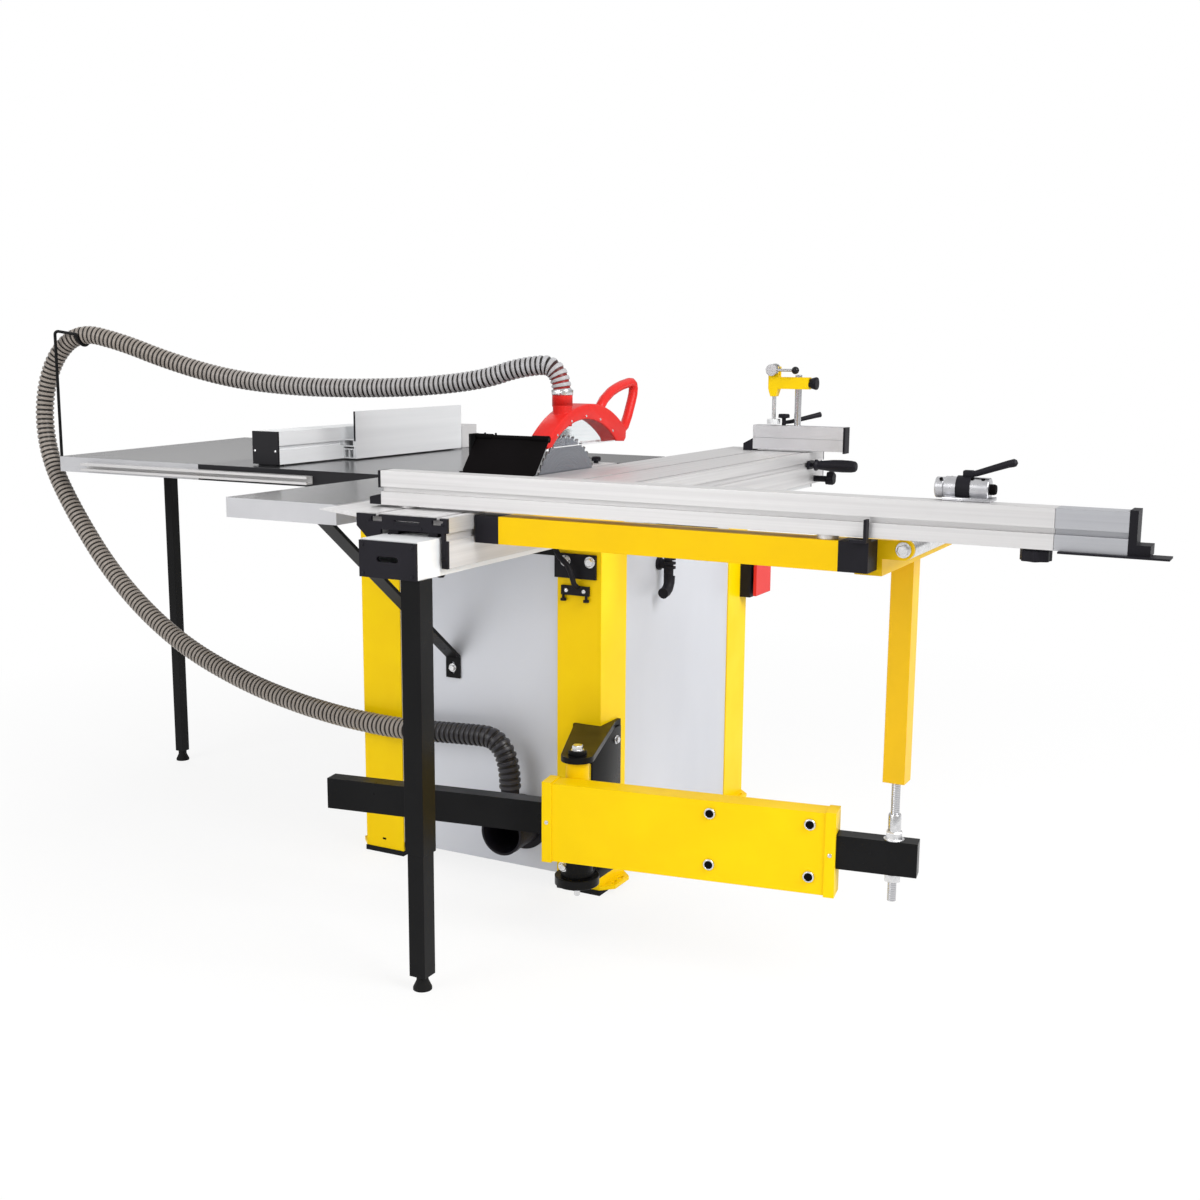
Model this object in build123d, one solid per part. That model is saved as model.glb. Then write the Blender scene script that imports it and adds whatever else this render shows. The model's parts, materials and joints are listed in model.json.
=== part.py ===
from build123d import *
import math
import os

# Sliding table saw, in millimetres with +Z up. The feed runs along +Y, so the operator stands at -Y.
# The rip side is +X and the sliding table is at -X. Places are worked out from the cabinet's centre on the
# floor. The finished solids are then moved so that the origin is the bottom centre of the whole machine.

# Centre of the whole machine without its hose, from the cabinet's centre
middle_x = 31.0
middle_y = -47.0

# Fits and gaps
running_gap = 0.05
seat_gap = 0.3
slide_gap = 0.5
over = 1.0

# Cabinet: folded posts, sheet panels and the frame on top
cabinet_x = 620.0
cabinet_y = 808.0
cabinet_top_z = 762.0
pad_height = 12.0
pad_margin = 2.0
post_x = 105.0
post_y = 118.0
post_sheet = 3.0
post_base = 8.0
toe_reach = 26.0
toe_slot_length = 22.0
toe_slot_width = 8.0
toe_slot_pitch = 32.0
panel_sheet = 2.0
panel_bottom_z = 34.0
panel_corner_gap = 0.2
frame_rail = 40.0
frame_height = 24.0
saddle_y = 345.0
saddle_depth = 70.0
column_left_x = 60.0
column_right_x = 300.0
column_depth = 25.0

# Main table, insert and the folded sheet tables
table_z = 875.0
table_height = 40.0
table_plate = 14.0
table_wall = 12.0
table_length_x = 892.0
table_rear_y = 275.0
table_front_y = -600.0
table_gap = 3.0
table_cells = 3
well_length_x = 310.0
well_rear_y = 240.0
well_front_y = -340.0
insert_slot = 11.0
insert_width = 49.0
insert_rear_y = 200.0
insert_front_y = -330.0
insert_thickness = 6.0
insert_ledge = 10.0
insert_screw = 2.5
insert_screw_inset = 30.0
sheet = 3.0
outfeed_width = 274.0
outfeed_length = 573.0
side_rear_width = 488.0
side_front_width = 616.0

# Rails of the tables
rail_left_x = 548.0
rail_right_x = 1300.0
rail_depth = 24.0
rail_height = 20.0
rail_drop = 13.0
rail_wall = 3.0
rail_slot = 8.0
guide_bar_radius = 15.0
guide_bar_drop = 30.0
guide_bar_gap = 22.0
guide_bar_left_x = 60.0
guide_bar_right_x = 1420.0
guide_block = 40.0
guide_block_height = 15.0
guide_blocks = 4

# Legs, feet and brace
front_leg_inset_x = 17.0
front_leg_inset_y = 20.0
front_leg_tube = 40.0
front_leg_inner = 34.0
front_leg_split_z = 265.0
front_leg_overlap = 60.0
side_leg_offset_x = 315.0
side_leg_y = 48.0
side_leg_tube = 26.0
leg_wall = 2.5
foot_height = 28.0
foot_radius = 24.0
foot_neck = 16.0
foot_lip = 6.0
brace_x = 62.0
brace_width = 36.0
brace_thickness = 5.0
brace_wall_z = 490.0
brace_foot = 46.0
brace_tab = 27.0
brace_slot = 9.0

# Sliding beam and carriage
beam_left_x = -255.0
beam_width = 122.0
beam_height = 68.0
beam_wall = 6.0
beam_rear_y = 990.0
beam_length = 2020.0
saddle_height = 8.0
beam_cover = 6.0
beam_cover_drop = 2.0
beam_cover_slot = 46.0
beam_cover_slot_height = 10.0
carriage_rear_y = 916.0
carriage_length = 2000.0
carriage_side_gap = 4.0
carriage_skirt = 13.0
carriage_skirt_drop = 92.0
carriage_deck = 29.0
carriage_inner_gap = 6.0
carriage_inner_wall = 12.0
carriage_inner_drop = 34.0
lip_reach = 90.0
lip_root_offset = 42.0
lip_root = 11.0
lip_shoulder = 14.0
lip_edge = 2.0
slot_right_inset = 15.0
slot_left_inset = 21.0
slot_mouth = 10.0
slot_width = 24.0
slot_mouth_depth = 6.0
slot_depth = 15.0
groove_drop = 35.0
groove_height = 14.0
groove_depth = 6.0
end_plate = 6.0
end_plate_drop = 2.0
end_window_width = 56.0
end_window_height = 9.0
bearing_width = 20.0
bearing_inset = 8.0

# Blade, arbor, motor and belt
blade_x = 25.0
blade_y = -46.0
blade_radius = 157.5
blade_height = 85.0
blade_plate = 2.6
blade_bore = 15.0
blade_teeth = 48
tooth_depth = 9.0
blade_slots = 4
blade_slot_length = 26.0
blade_slot_width = 2.0
flange_radius = 42.0
flange_thickness = 9.0
nut_radius = 17.0
nut_length = 10.0
arbor_radius = 17.0
arbor_pulley_radius = 34.0
motor_pulley_radius = 52.0
pulley_gap = 13.0
pulley_width = 26.0
belt_width = 18.0
belt_thickness = 7.0
motor_drop = 258.0
motor_radius = 70.0
motor_fin = 8.0
motor_fins = 18
motor_fin_width = 5.0
motor_length = 172.0
motor_cowl = 34.0
motor_shaft_radius = 12.0
motor_shaft_depth = 36.0

# Lifting block on its rods, and the tilting frame
face_plate_gap = 14.0
face_plate = 16.0
face_plate_radius = 62.0
bearing_radius = 44.0
bearing_length = 92.0
lift_block_depth = 48.0
lift_block_height = 148.0
lift_block_top = 14.0
lift_block_half_y = 168.0
lift_web = 46.0
saw_mid_y = -30.0
rod_x = 220.0
rod_half_y = 140.0
rod_radius = 12.0
spindle_offset_y = 92.0
spindle_radius = 9.0
spindle_seat = 10.0
tilt_half_y = 215.0
tilt_plate = 12.0
tilt_depth_x = 60.0
tilt_top_drop = 55.0
tilt_bar = 28.0
tilt_low_z = 340.0
tilt_travel = 45.0
arc_inner = 250.0
arc_width = 25.0
arc_rib = 12.0
arc_web = 60.0
arc_start = 14.0
arc_end = 72.0
arc_margin = 3.0
arc_stop = 4.0
arc_rim = 14.0
arc_back = 12.0
arc_foot_width = 24.0
arc_foot_height = 40.0
arc_foot_drop = 55.0

# Riving knife and guard
knife_gap = 5.0
knife_width = 34.0
knife_plate = 2.2
knife_top_angle = 61.0
knife_root_angle = -42.0
knife_clamp = 28.0
guard_width = 55.0
guard_wall = 3.0
guard_band = 36.0
guard_rear_offset = 142.0
guard_front_offset = 306.0
guard_lift = 47.0
guard_nose = 12.0
guard_tail = 40.0
guard_crown = 116.0
guard_solid_tail = 60.0
pane_thickness = 2.0
pane_lap = 8.0
cheek_length = 34.0
cheek_inset = 12.0
cheek_drop = 17.0
cheek_height = 52.0
stub_offset = 20.0
stub_radius = 20.0
stub_wall = 2.5
stub_height = 201.0
stub_root = 30.0
grip_size = 19.0
grip_corner = 7.0
grip_bend = 15.0
grip_low_offset = 150.0
grip_rise = 200.0
grip_reach = 366.0
grip_crown = 216.0

# Rear flap on its post
flap_left = 40.0
flap_width = 198.0
flap_thickness = 4.0
flap_gap = 12.0
flap_hinge_lift = 86.0
flap_length = 106.0
flap_lean = 40.0
flap_corner = 10.0
flap_pin = 4.0
flap_knuckle = 8.0
flap_knuckle_length = 44.0
flap_post = 6.0
flap_post_depth = 26.0
flap_post_foot = 34.0
flap_post_base = 4.0

# Rip fence
rip_left_x = 691.0
rip_width = 81.0
rip_rear_y = 223.0
rip_height = 82.0
rip_wall = 4.0
rip_lift = 4.0
rip_cap = 6.0
rip_groove = 12.0
rip_groove_depth = 10.0
rip_groove_wall = 8.0
rip_foot = 30.0
rip_foot_inset = 12.0
rip_head_margin = 10.0
rip_head_reach = 32.0
rip_head_lap = 10.0
rip_head_height = 62.0
rip_head_drop = 14.0
rip_plate_rear_y = -34.0
rip_plate_length = 505.0
rip_plate_height = 124.0
rip_plate = 6.0
rip_base_width = 34.0
rip_base_height = 26.0
rip_base_wall = 3.0
rip_tie_height = 20.0
rip_shaft = 8.0
rip_shaft_depth = 18.0
rip_lever_length = 90.0
rip_lever_rod = 6.0
rip_lever_gap = 15.0
rip_ball = 11.0

# Outrigger
outrigger_rear_inset = 80.0
outrigger_depth_y = 546.0
outrigger_length = 740.0
outrigger_gap = 3.0
outrigger_drop = 3.0
outrigger_bar = 50.0
outrigger_wall = 3.0
outrigger_cap = 50.0
outrigger_cross = 40.0
outer_cross = 46.0
outer_cross_drop = 10.0
outer_cross_top = 6.0
ear_plate = 8.0
ear_radius = 17.0
ear_lap = 60.0
roller_offset = 43.0
roller_radius = 17.5
roller_axle = 5.0
roller_end_gap = 1.0
axle_end = 6.0
groove_clamp_width = 60.0
groove_clamp_height = 40.0
groove_clamp_inset = 90.0
tab_length = 28.0
tab_plate = 5.0
tab_reach = 14.0
tab_height = 38.0

# Crosscut fence
fence_lift = 5.0
fence_depth = 42.0
fence_height = 64.0
fence_wall = 4.0
fence_right_x = -66.0
fence_length = 1234.0
fence_groove = 9.0
fence_groove_depth = 9.0
fence_groove_wall = 5.0
fence_groove_rise = 29.0
fence_disc = 18.0
fence_foot_x = -940.0
fence_cap = 6.0
fence_cap_rise = 32.0
wedge_length = 26.0
wedge_height = 20.0
wedge_tip = 14.0
extension_length = 106.0
extension_tongue = 480.0
extension_wall = 3.0
extension_cap = 12.0
extension_step = 20.0
extension_step_height = 16.0
extension_cap_rise = 3.0
tip_plate = 3.0
tip_length = 158.0
tip_reach = 60.0
tip_front = 10.0
knob_radius = 17.0
knob_height = 12.0
knob_inset = 27.0
knob_stud = 4.0
knob_drop = 7.0
stop_inset = 108.0
stop_length = 84.0
stop_radius = 18.0
stop_neck = 11.0
stop_offset = 2.0
stop_end = 8.0
stop_plate = 8.0
stop_skirt = 56.0
stop_ring = 20.0
stop_ring_inset = 36.0
stop_lever_reach = 84.0
stop_lever_rise = 46.0
stop_lever_width = 12.0
stop_lever_root = 21.0
stop_lever_tip = 9.0

# Swing arm below the outrigger
pivot_out = 61.0
pivot_rear = 213.0
arm_angle = 9.0
pin_radius = 12.0
pin_end = 10.0
pin_head = 8.0
pin_head_radius = 18.0
sleeve_radius = 23.5
bracket_plate = 12.0
bracket_top_z = 380.0
bracket_low_z = 128.0
bracket_radius = 33.0
bracket_reach_x = 62.0
bracket_reach_y = 80.0
bracket_flange = 8.0
bracket_flange_height = 84.0
arm_back = 24.0
arm_depth = 47.0
arm_low_z = 179.0
arm_height = 158.0
arm_wall = 4.0
arm_tail = 48.0
arm_reach = 528.0
collar_length = 20.0
collar_rim = 2.5
web_width = 36.0
web_margin = 6.0
tube_width = 35.0
tube_height = 64.0
tube_wall = 3.5
tube_rise = 84.0
tube_tail = 525.0
tube_reach = 675.0
tube_plug = 6.0
guide_roller_radius = 18.0
guide_roller_axle = 6.0
guide_roller_head = 4.0
guide_roller_places = (-290.0, -480.0)
screw_reach = 630.0
screw_radius = 8.0
screw_low_z = 178.0
screw_nut = 24.0
screw_nut_height = 14.0
support_post = 40.0
support_wall = 3.0
support_low_z = 405.0
support_plug = 14.0
support_cap = 6.0

# Edging shoe with hold-down
shoe_inset = 124.0
shoe_right_x = -96.0
shoe_length = 276.0
shoe_height = 75.0
shoe_depth = 40.0
shoe_wall = 4.0
shoe_groove = 6.0
shoe_groove_depth = 2.0
shoe_end = 6.0
shoe_nose = 30.0
shoe_nose_height = 36.0
shoe_nose_tip = 20.0
shoe_key = 5.7
stand_inset = 130.0
stand_radius = 9.0
stand_boss = 15.0
stand_top_z = 1134.0
stand_socket = 24.0
plunger_offset = 74.0
plunger_radius = 6.0
plunger_pad_radius = 13.0
plunger_pad = 12.0
plunger_gap = 4.0
clamp_low_z = 1056.0
clamp_body_height = 34.0
clamp_body_depth = 26.0
clamp_tail = 34.0
clamp_fork = 30.0
clamp_point = 22.0
clamp_point_width = 16.0
cam_rise = 54.0
cam_radius = 15.0
cam_throw = 3.5
cam_width = 10.0
cam_pin = 4.0
cam_fork_top = 10.0
cam_wheel = 18.0
cam_wheel_radius = 17.0
cam_lever_length = 72.0
cam_lever_rod = 4.0
cam_lever_inset = 2.0
ball_radius = 11.0
clamp_knob_radius = 14.0
clamp_knob_height = 16.0
clamp_knob_stud = 5.0
clamp_knob_depth = 12.0
toggle_offset = 42.0
toggle_stem = 7.0
toggle_height = 16.0
toggle_length = 84.0
toggle_width = 12.0
toggle_thickness = 9.0

# Push handle and carriage lock
handle_inset = 120.0
handle_length = 122.0
handle_radius = 15.0
handle_rod = 6.0
handle_stand = 18.0
handle_plate = 6.0
handle_plate_width = 44.0
handle_plate_height = 24.0
lock_inset = 74.0
lock_drop = 78.0
lock_shaft = 9.0
lock_reach = 40.0
lock_knob_radius = 21.0
lock_knob_height = 18.0

# Switch, elbow, adjusters and handwheels
switch_width = 108.0
switch_overhang = 65.0
switch_low_z = 545.0
switch_height = 88.0
switch_depth = 28.0
switch_hinge = 3.0
switch_hinge_out = 5.0
switch_hinge_drop = 6.0
switch_ear = 12.0
switch_ear_inset = 10.0
stop_flap_plate = 8.0
stop_flap_margin = 4.0
stop_flap_stand = 7.0
stop_flap_barrel = 4.5
stop_flap_notch = 6.0
button_radius = 11.0
button_out = 3.0
button_in = 10.0
button_well = 16.0
button_rise = 34.0
elbow_y = 122.0
elbow_z = 694.0
elbow_radius = 11.0
elbow_reach = 26.0
elbow_drop = 52.0
elbow_flange = 15.0
elbow_flange_thickness = 6.0
adjuster_inset = 60.0
adjuster_width = 98.0
adjuster_height = 52.0
adjuster_low_z = 694.0
strip_width = 66.0
strip_height = 20.0
strip_low_z = 658.0
adjuster_plate = 7.0
wheel_radius = 80.0
wheel_rim = 9.0
wheel_gap = 34.0
wheel_shaft = 10.0
wheel_hub = 18.0
wheel_hub_length = 12.0
wheel_spoke = 14.0
wheel_spoke_thickness = 8.0
wheel_spokes = 3
wheel_tail = 30.0
wheel_grip = 7.0
wheel_grip_length = 60.0
rise_wheel_x = -110.0
tilt_wheel_x = 150.0
wheel_z = 560.0
bush_wall = 4.0
bush_flange = 20.0
bush_flange_thickness = 6.0
bush_length = 24.0

# Dust outlet, hose and hook
port_x = -118.0
port_z = 138.0
port_radius = 50.0
port_wall = 3.0
port_collar = 16.0
port_collar_step = 2.0
port_length = 92.0
port_flange = 62.0
port_flange_thickness = 6.0
branch_offset = 54.0
branch_height = 114.0
hose_bore = 20.3
hose_root = 22.2
hose_crest = 24.2
hose_ribs = 80
hose_lap_top = 29.0
hose_lap_low = 22.0
hook_rod = 4.0
hook_x = 1436.0
hook_y = 236.0
hook_foot_drop = 20.0
hook_foot = 20.0
hook_bend = 9.0
hook_turn_x = 1388.0

half_x = cabinet_x / 2
half_y = cabinet_y / 2
panel_x = half_x - post_sheet
panel_y = half_y - post_sheet
frame_under_z = cabinet_top_z - frame_height
underside_z = table_z - table_height
beam_low_z = cabinet_top_z + saddle_height
beam_top_z = beam_low_z + beam_height
beam_right_x = beam_left_x + beam_width
beam_front_y = beam_rear_y - beam_length
carriage_front_y = carriage_rear_y - carriage_length
carriage_left_x = beam_left_x - carriage_side_gap - carriage_skirt
carriage_inner_x = beam_right_x + carriage_inner_gap
lip_root_x = carriage_inner_x + carriage_inner_wall + lip_root_offset
lip_x = lip_root_x + lip_reach
deck_z = table_z - carriage_deck
groove_z = table_z - groove_drop
slot_places = (beam_right_x + slot_right_inset, carriage_left_x + slot_left_inset)
main_left_x = lip_x + table_gap
main_right_x = main_left_x + table_length_x
insert_left_x = main_left_x + insert_slot
insert_right_x = insert_left_x + insert_width
well_right_x = main_left_x + well_length_x
outfeed_rear_y = table_rear_y + outfeed_length
side_rear_x = main_right_x + side_rear_width
side_front_x = main_right_x + side_front_width
guide_bar_y = table_front_y - guide_bar_gap - guide_bar_radius
guide_bar_z = table_z - guide_bar_drop
front_leg_x = beam_left_x + front_leg_inset_x
front_leg_y = beam_rear_y - front_leg_inset_y
side_leg_x = main_right_x + side_leg_offset_x
blade_z = table_z + blade_height - blade_radius
motor_z = blade_z - motor_drop
pulley_left_x = blade_x + blade_plate / 2 + flange_thickness + pulley_gap
face_plate_x = pulley_left_x + pulley_width + face_plate_gap
arc_outer = arc_inner + arc_width
guard_low_z = table_z + guard_lift
stub_y = blade_y + stub_offset
stub_top_z = table_z + stub_height
branch_y = half_y + branch_offset
branch_top_z = port_z + branch_height
outrigger_top_z = table_z - outrigger_drop
outrigger_low_z = outrigger_top_z - outrigger_bar
outrigger_right_x = carriage_left_x - outrigger_gap
outrigger_left_x = outrigger_right_x - outrigger_length
outrigger_rear_y = carriage_rear_y - outrigger_rear_inset
outrigger_front_y = outrigger_rear_y - outrigger_depth_y
outer_cross_low = outrigger_low_z - outer_cross_drop
fence_low_z = table_z + fence_lift
fence_top_z = fence_low_z + fence_height
fence_rear_y = outrigger_rear_y
fence_front_y = fence_rear_y - fence_depth
fence_mid_y = (fence_rear_y + fence_front_y) / 2
fence_left_x = fence_right_x - fence_length
fence_pivot_x = slot_places[0]
pivot_x = -half_x - pivot_out
pivot_y = half_y + pivot_rear
tube_v = arm_back + arm_depth / 2
tube_z = arm_low_z + tube_rise
shoe_rear_y = carriage_front_y + shoe_inset
shoe_left_x = shoe_right_x - shoe_length
shoe_mid_y = shoe_rear_y - shoe_depth / 2
shoe_low_z = table_z + seat_gap
shoe_top_z = shoe_low_z + shoe_height
stand_x = shoe_right_x - stand_inset
plunger_x = stand_x + plunger_offset
cam_z = clamp_low_z + cam_rise
nodes = {}


def block(x0, x1, y0, y1, z0, z1):
    """A box between two corners."""
    return Pos((x0 + x1) / 2, (y0 + y1) / 2, (z0 + z1) / 2) * Box(abs(x1 - x0), abs(y1 - y0), abs(z1 - z0))


def bar_x(x0, x1, y, z, radius):
    """A round bar along X."""
    return Pos((x0 + x1) / 2, y, z) * Rot(0, 90, 0) * Cylinder(radius, abs(x1 - x0))


def bar_y(y0, y1, x, z, radius):
    """A round bar along Y."""
    return Pos(x, (y0 + y1) / 2, z) * Rot(90, 0, 0) * Cylinder(radius, abs(y1 - y0))


def bar_z(z0, z1, x, y, radius):
    """A round bar along Z."""
    return Pos(x, y, (z0 + z1) / 2) * Cylinder(radius, abs(z1 - z0))


def along_x(sketch, x0, x1):
    """A section drawn in Y and Z, drawn out from x0 to x1."""
    return extrude(Plane.YZ.offset(x0) * sketch, x1 - x0, dir=(1, 0, 0))


def along_y(sketch, y0, y1):
    """A section drawn in X and Z, drawn out from y0 to y1."""
    return extrude(Plane.XZ.offset(-y0) * sketch, y1 - y0, dir=(0, 1, 0))


def along_z(sketch, z0, z1):
    """An outline drawn in X and Y, drawn up from z0 to z1."""
    return extrude(Pos(0, 0, z0) * sketch, z1 - z0, dir=(0, 0, 1))


def outline(*points):
    """A closed outline through its corners."""
    return Polygon(*points, align=None)


def hollow(x0, x1, y0, y1, z0, z1, wall, axis):
    """A square tube, open along one axis."""
    inset = [wall, wall, wall]
    inset["XYZ".index(axis)] = -over
    bore = block(x0 + inset[0], x1 - inset[0], y0 + inset[1], y1 - inset[1], z0 + inset[2], z1 - inset[2])
    return block(x0, x1, y0, y1, z0, z1) - bore


def ring_sector(centre, inner, outer, start, end):
    """A sector of a ring, from one angle to another in degrees."""
    angles = [math.radians(start), math.radians((start + end) / 2), math.radians(end)]

    def arc(radius):
        """Three points of the arc at a radius."""
        return [(centre[0] + radius * math.cos(angle), centre[1] + radius * math.sin(angle))
                for angle in angles]

    out, back = arc(outer), arc(inner)
    edges = [ThreePointArc(*out), Line(out[2], back[2]), ThreePointArc(*reversed(back)),
             Line(back[0], out[0])]
    return make_face(Curve() + edges)


def knob(radius, height):
    """A three-lobed clamp knob that stands on the origin."""
    stand = (Align.CENTER, Align.CENTER, Align.MIN)
    lobe = radius * 0.44
    shape = Cylinder(radius * 0.62, height, align=stand)
    for turn in range(3):
        shape += Rot(0, 0, 120 * turn) * Pos(radius - lobe, 0, 0) * Cylinder(lobe, height, align=stand)
    return shape


def add(name, *shapes):
    """Files a node as the separate solids of its shapes, moved to the part's origin."""
    move = Pos(-middle_x, -middle_y, 0)
    nodes[name] = [move * solid for shape in shapes for solid in shape.solids()]


def cabinet():
    """Corner posts with slotted toes, pads and leg feet, and panels between the posts."""
    posts = []
    pads = []
    base_top = pad_height + post_base
    for side_x in (-1, 1):
        for side_y in (-1, 1):
            x, y = side_x * half_x, side_y * half_y
            inner_x, inner_y = side_x * panel_x, side_y * panel_y
            end_x, end_y = x - side_x * post_x, y - side_y * post_y
            angle = outline((x, y), (end_x, y), (end_x, inner_y), (inner_x, inner_y), (inner_x, end_y),
                            (x, end_y))
            post = along_z(angle, pad_height, cabinet_top_z)
            post += block(x, end_x, y, end_y, pad_height, base_top)
            toe_x = x + side_x * toe_reach
            toe = outline((x, y), (toe_x, y - side_y * toe_reach), (toe_x, end_y + side_y * toe_reach),
                          (x, end_y))
            for step in (-toe_slot_pitch / 2, toe_slot_pitch / 2):
                place = Pos(x + side_x * toe_reach / 2, (y + end_y) / 2 + step) * Rot(0, 0, 90)
                toe -= place * SlotOverall(toe_slot_length, toe_slot_width)
            posts.append(post + along_z(toe, pad_height, base_top))
            pads.append(block(x + side_x * pad_margin, end_x, y + side_y * pad_margin, end_y, 0, pad_height))
    add("corner_posts", *posts)
    for x, y in ((front_leg_x, front_leg_y), (side_leg_x, side_leg_y)):
        section = outline((0, 0), (foot_radius, 0), (foot_radius, foot_lip), (foot_neck, foot_height),
                          (0, foot_height))
        pads.append(Pos(x, y, 0) * revolve(Plane.XZ * section, Axis.Z))
    add("feet", *pads)

    inner_y = panel_y - panel_sheet
    span_x = panel_x - panel_sheet - panel_corner_gap
    span_y = inner_y - panel_corner_gap
    rear = block(-span_x, span_x, inner_y, panel_y, panel_bottom_z, frame_under_z)
    rear -= bar_y(inner_y - over, panel_y + over, port_x, port_z, port_radius)
    front = block(-span_x, span_x, -panel_y, -inner_y, panel_bottom_z, frame_under_z)
    for x in (rise_wheel_x, tilt_wheel_x):
        front -= bar_y(-panel_y - over, -inner_y + over, x, wheel_z, wheel_shaft + bush_wall + running_gap)
    sides = [block(side * panel_x, side * (panel_x - panel_sheet), -span_y, span_y, panel_bottom_z,
                   frame_under_z)
             for side in (-1, 1)]
    add("cabinet_panels", rear, front, *sides)


def arc_about_tilt(inner, outer, start, end, y0, y1):
    """A ring segment about the tilt axis, its angles counted from straight down towards +X."""
    return along_y(ring_sector((blade_x, table_z), inner, outer, start - 90, end - 90), min(y0, y1),
                   max(y0, y1))


def tilt_planes(side):
    """The inner face, the outer face and the rib's end of one side plate of the tilting frame."""
    outer = saw_mid_y + side * tilt_half_y
    return outer - side * tilt_plate, outer, outer + side * arc_rib


def top_frame():
    """The frame on the posts, its saddles and table columns, and the arc brackets of the tilt."""
    frame = block(-panel_x, panel_x, -panel_y, panel_y, frame_under_z, cabinet_top_z)
    inner_x, inner_y = panel_x - frame_rail, panel_y - frame_rail
    frame -= block(-inner_x, inner_x, -inner_y, inner_y, frame_under_z - over, cabinet_top_z + over)
    for y in (-saddle_y, saddle_y):
        y0, y1 = y - saddle_depth / 2, y + saddle_depth / 2
        frame += block(-panel_x, panel_x, y0, y1, frame_under_z, cabinet_top_z)
        frame += block(beam_left_x, beam_right_x, y0, y1, frame_under_z, beam_low_z)
    rear_column = well_rear_y + seat_gap
    front_column = well_front_y - seat_gap - column_depth
    for y in (rear_column, front_column):
        frame += block(-panel_x, panel_x, y, y + column_depth, frame_under_z, cabinet_top_z)
        frame += block(column_left_x, column_right_x, y, y + column_depth, frame_under_z, underside_z)
    recess = tilt_half_y + arc_rib + arc_back + over
    frame -= bar_y(saw_mid_y - recess, saw_mid_y + recess, blade_x, table_z, arc_outer + arc_rim + slide_gap)
    brackets = []
    sweep_start = arc_start - tilt_travel - arc_margin
    sweep_end = arc_end + arc_margin
    for side, seat_y in ((-1, front_column + column_depth), (1, rear_column)):
        plate_outer, rib_end = tilt_planes(side)[1:]
        near = plate_outer + side * seat_gap
        back = rib_end + side * seat_gap
        bracket = arc_about_tilt(arc_inner - arc_rim, arc_outer + arc_rim, sweep_start - arc_stop,
                                 sweep_end + arc_stop, near, back + side * arc_back)
        bracket -= arc_about_tilt(arc_inner - seat_gap, arc_outer + seat_gap, sweep_start, sweep_end,
                                  near - side * over, back)
        foot_top = table_z - arc_foot_drop
        bracket += block(column_right_x - arc_foot_width, column_right_x, back, seat_y,
                         foot_top - arc_foot_height, foot_top)
        brackets.append(bracket)
    add("top_frame", frame, *brackets)


def tables():
    """The cast main table with its insert, and the two folded sheet tables."""
    hole_right = insert_right_x + seat_gap
    hole_rear = insert_rear_y + seat_gap
    hole_front = insert_front_y - seat_gap
    plan = outline((main_left_x, table_front_y), (main_right_x, table_front_y), (main_right_x, table_rear_y),
                   (main_left_x, table_rear_y), (main_left_x, hole_rear), (hole_right, hole_rear),
                   (hole_right, hole_front), (main_left_x, hole_front))
    table = along_z(plan, underside_z, table_z)
    plate_z = table_z - table_plate
    ledge_z = table_z - insert_thickness
    table -= block(main_left_x - over, well_right_x, well_front_y, well_rear_y, underside_z - over, plate_z)
    cell = (main_right_x - table_wall - well_right_x) / table_cells
    for index in range(table_cells):
        left = well_right_x + table_wall + index * cell
        table -= block(left, left + cell - table_wall, table_front_y + table_wall, table_rear_y - table_wall,
                       underside_z - over, plate_z)
    table += block(insert_right_x - insert_ledge, hole_right, hole_front, hole_rear, plate_z, ledge_z)
    add("main_table", table)

    insert = block(insert_left_x, insert_right_x, insert_front_y, insert_rear_y, ledge_z, table_z)
    for y in (insert_front_y + insert_screw_inset, insert_rear_y - insert_screw_inset):
        insert -= bar_z(ledge_z - over, table_z + over, insert_right_x - insert_ledge / 2, y, insert_screw)
    add("table_insert", insert)

    outfeed_right_x = insert_left_x + outfeed_width
    outfeed_plan = outline((insert_left_x, table_rear_y), (outfeed_right_x, table_rear_y),
                           (outfeed_right_x, outfeed_rear_y), (insert_left_x, outfeed_rear_y))
    side_plan = outline((main_right_x, table_front_y), (side_front_x, table_front_y),
                        (side_rear_x, table_rear_y),
                        (main_right_x, table_rear_y))
    trays = []
    for edge in (outfeed_plan, side_plan):
        inside = offset(edge, amount=-sheet, kind=Kind.INTERSECTION)
        tray = along_z(edge, underside_z, table_z)
        trays.append(tray - along_z(inside, underside_z - over, table_z - sheet))
    add("sheet_tables", *trays)


def rails():
    """The slotted rail on the outfeed edge, and the round bar that guides the rip fence."""
    rear = table_rear_y + rail_depth
    top = table_z - rail_drop
    low = top - rail_height
    slot_low = (low + top - rail_slot) / 2
    slot_top = slot_low + rail_slot
    inner, lips = table_rear_y + rail_wall, rear - rail_wall
    section = outline((table_rear_y, low), (rear, low), (rear, slot_low), (lips, slot_low),
                      (lips, low + rail_wall),
                      (inner, low + rail_wall), (inner, top - rail_wall), (lips, top - rail_wall),
                      (lips, slot_top),
                      (rear, slot_top), (rear, top), (table_rear_y, top))
    rail = along_x(section, rail_left_x, rail_right_x)
    guide = bar_x(guide_bar_left_x, guide_bar_right_x, guide_bar_y, guide_bar_z, guide_bar_radius)
    pitch = (guide_bar_right_x - guide_bar_left_x - guide_block) / (guide_blocks - 1)
    for index in range(guide_blocks):
        left = guide_bar_left_x + index * pitch
        guide += block(left, left + guide_block, guide_bar_y, table_front_y,
                       guide_bar_z - guide_block_height / 2, guide_bar_z + guide_block_height / 2)
    add("fence_rails", rail, guide)


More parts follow.
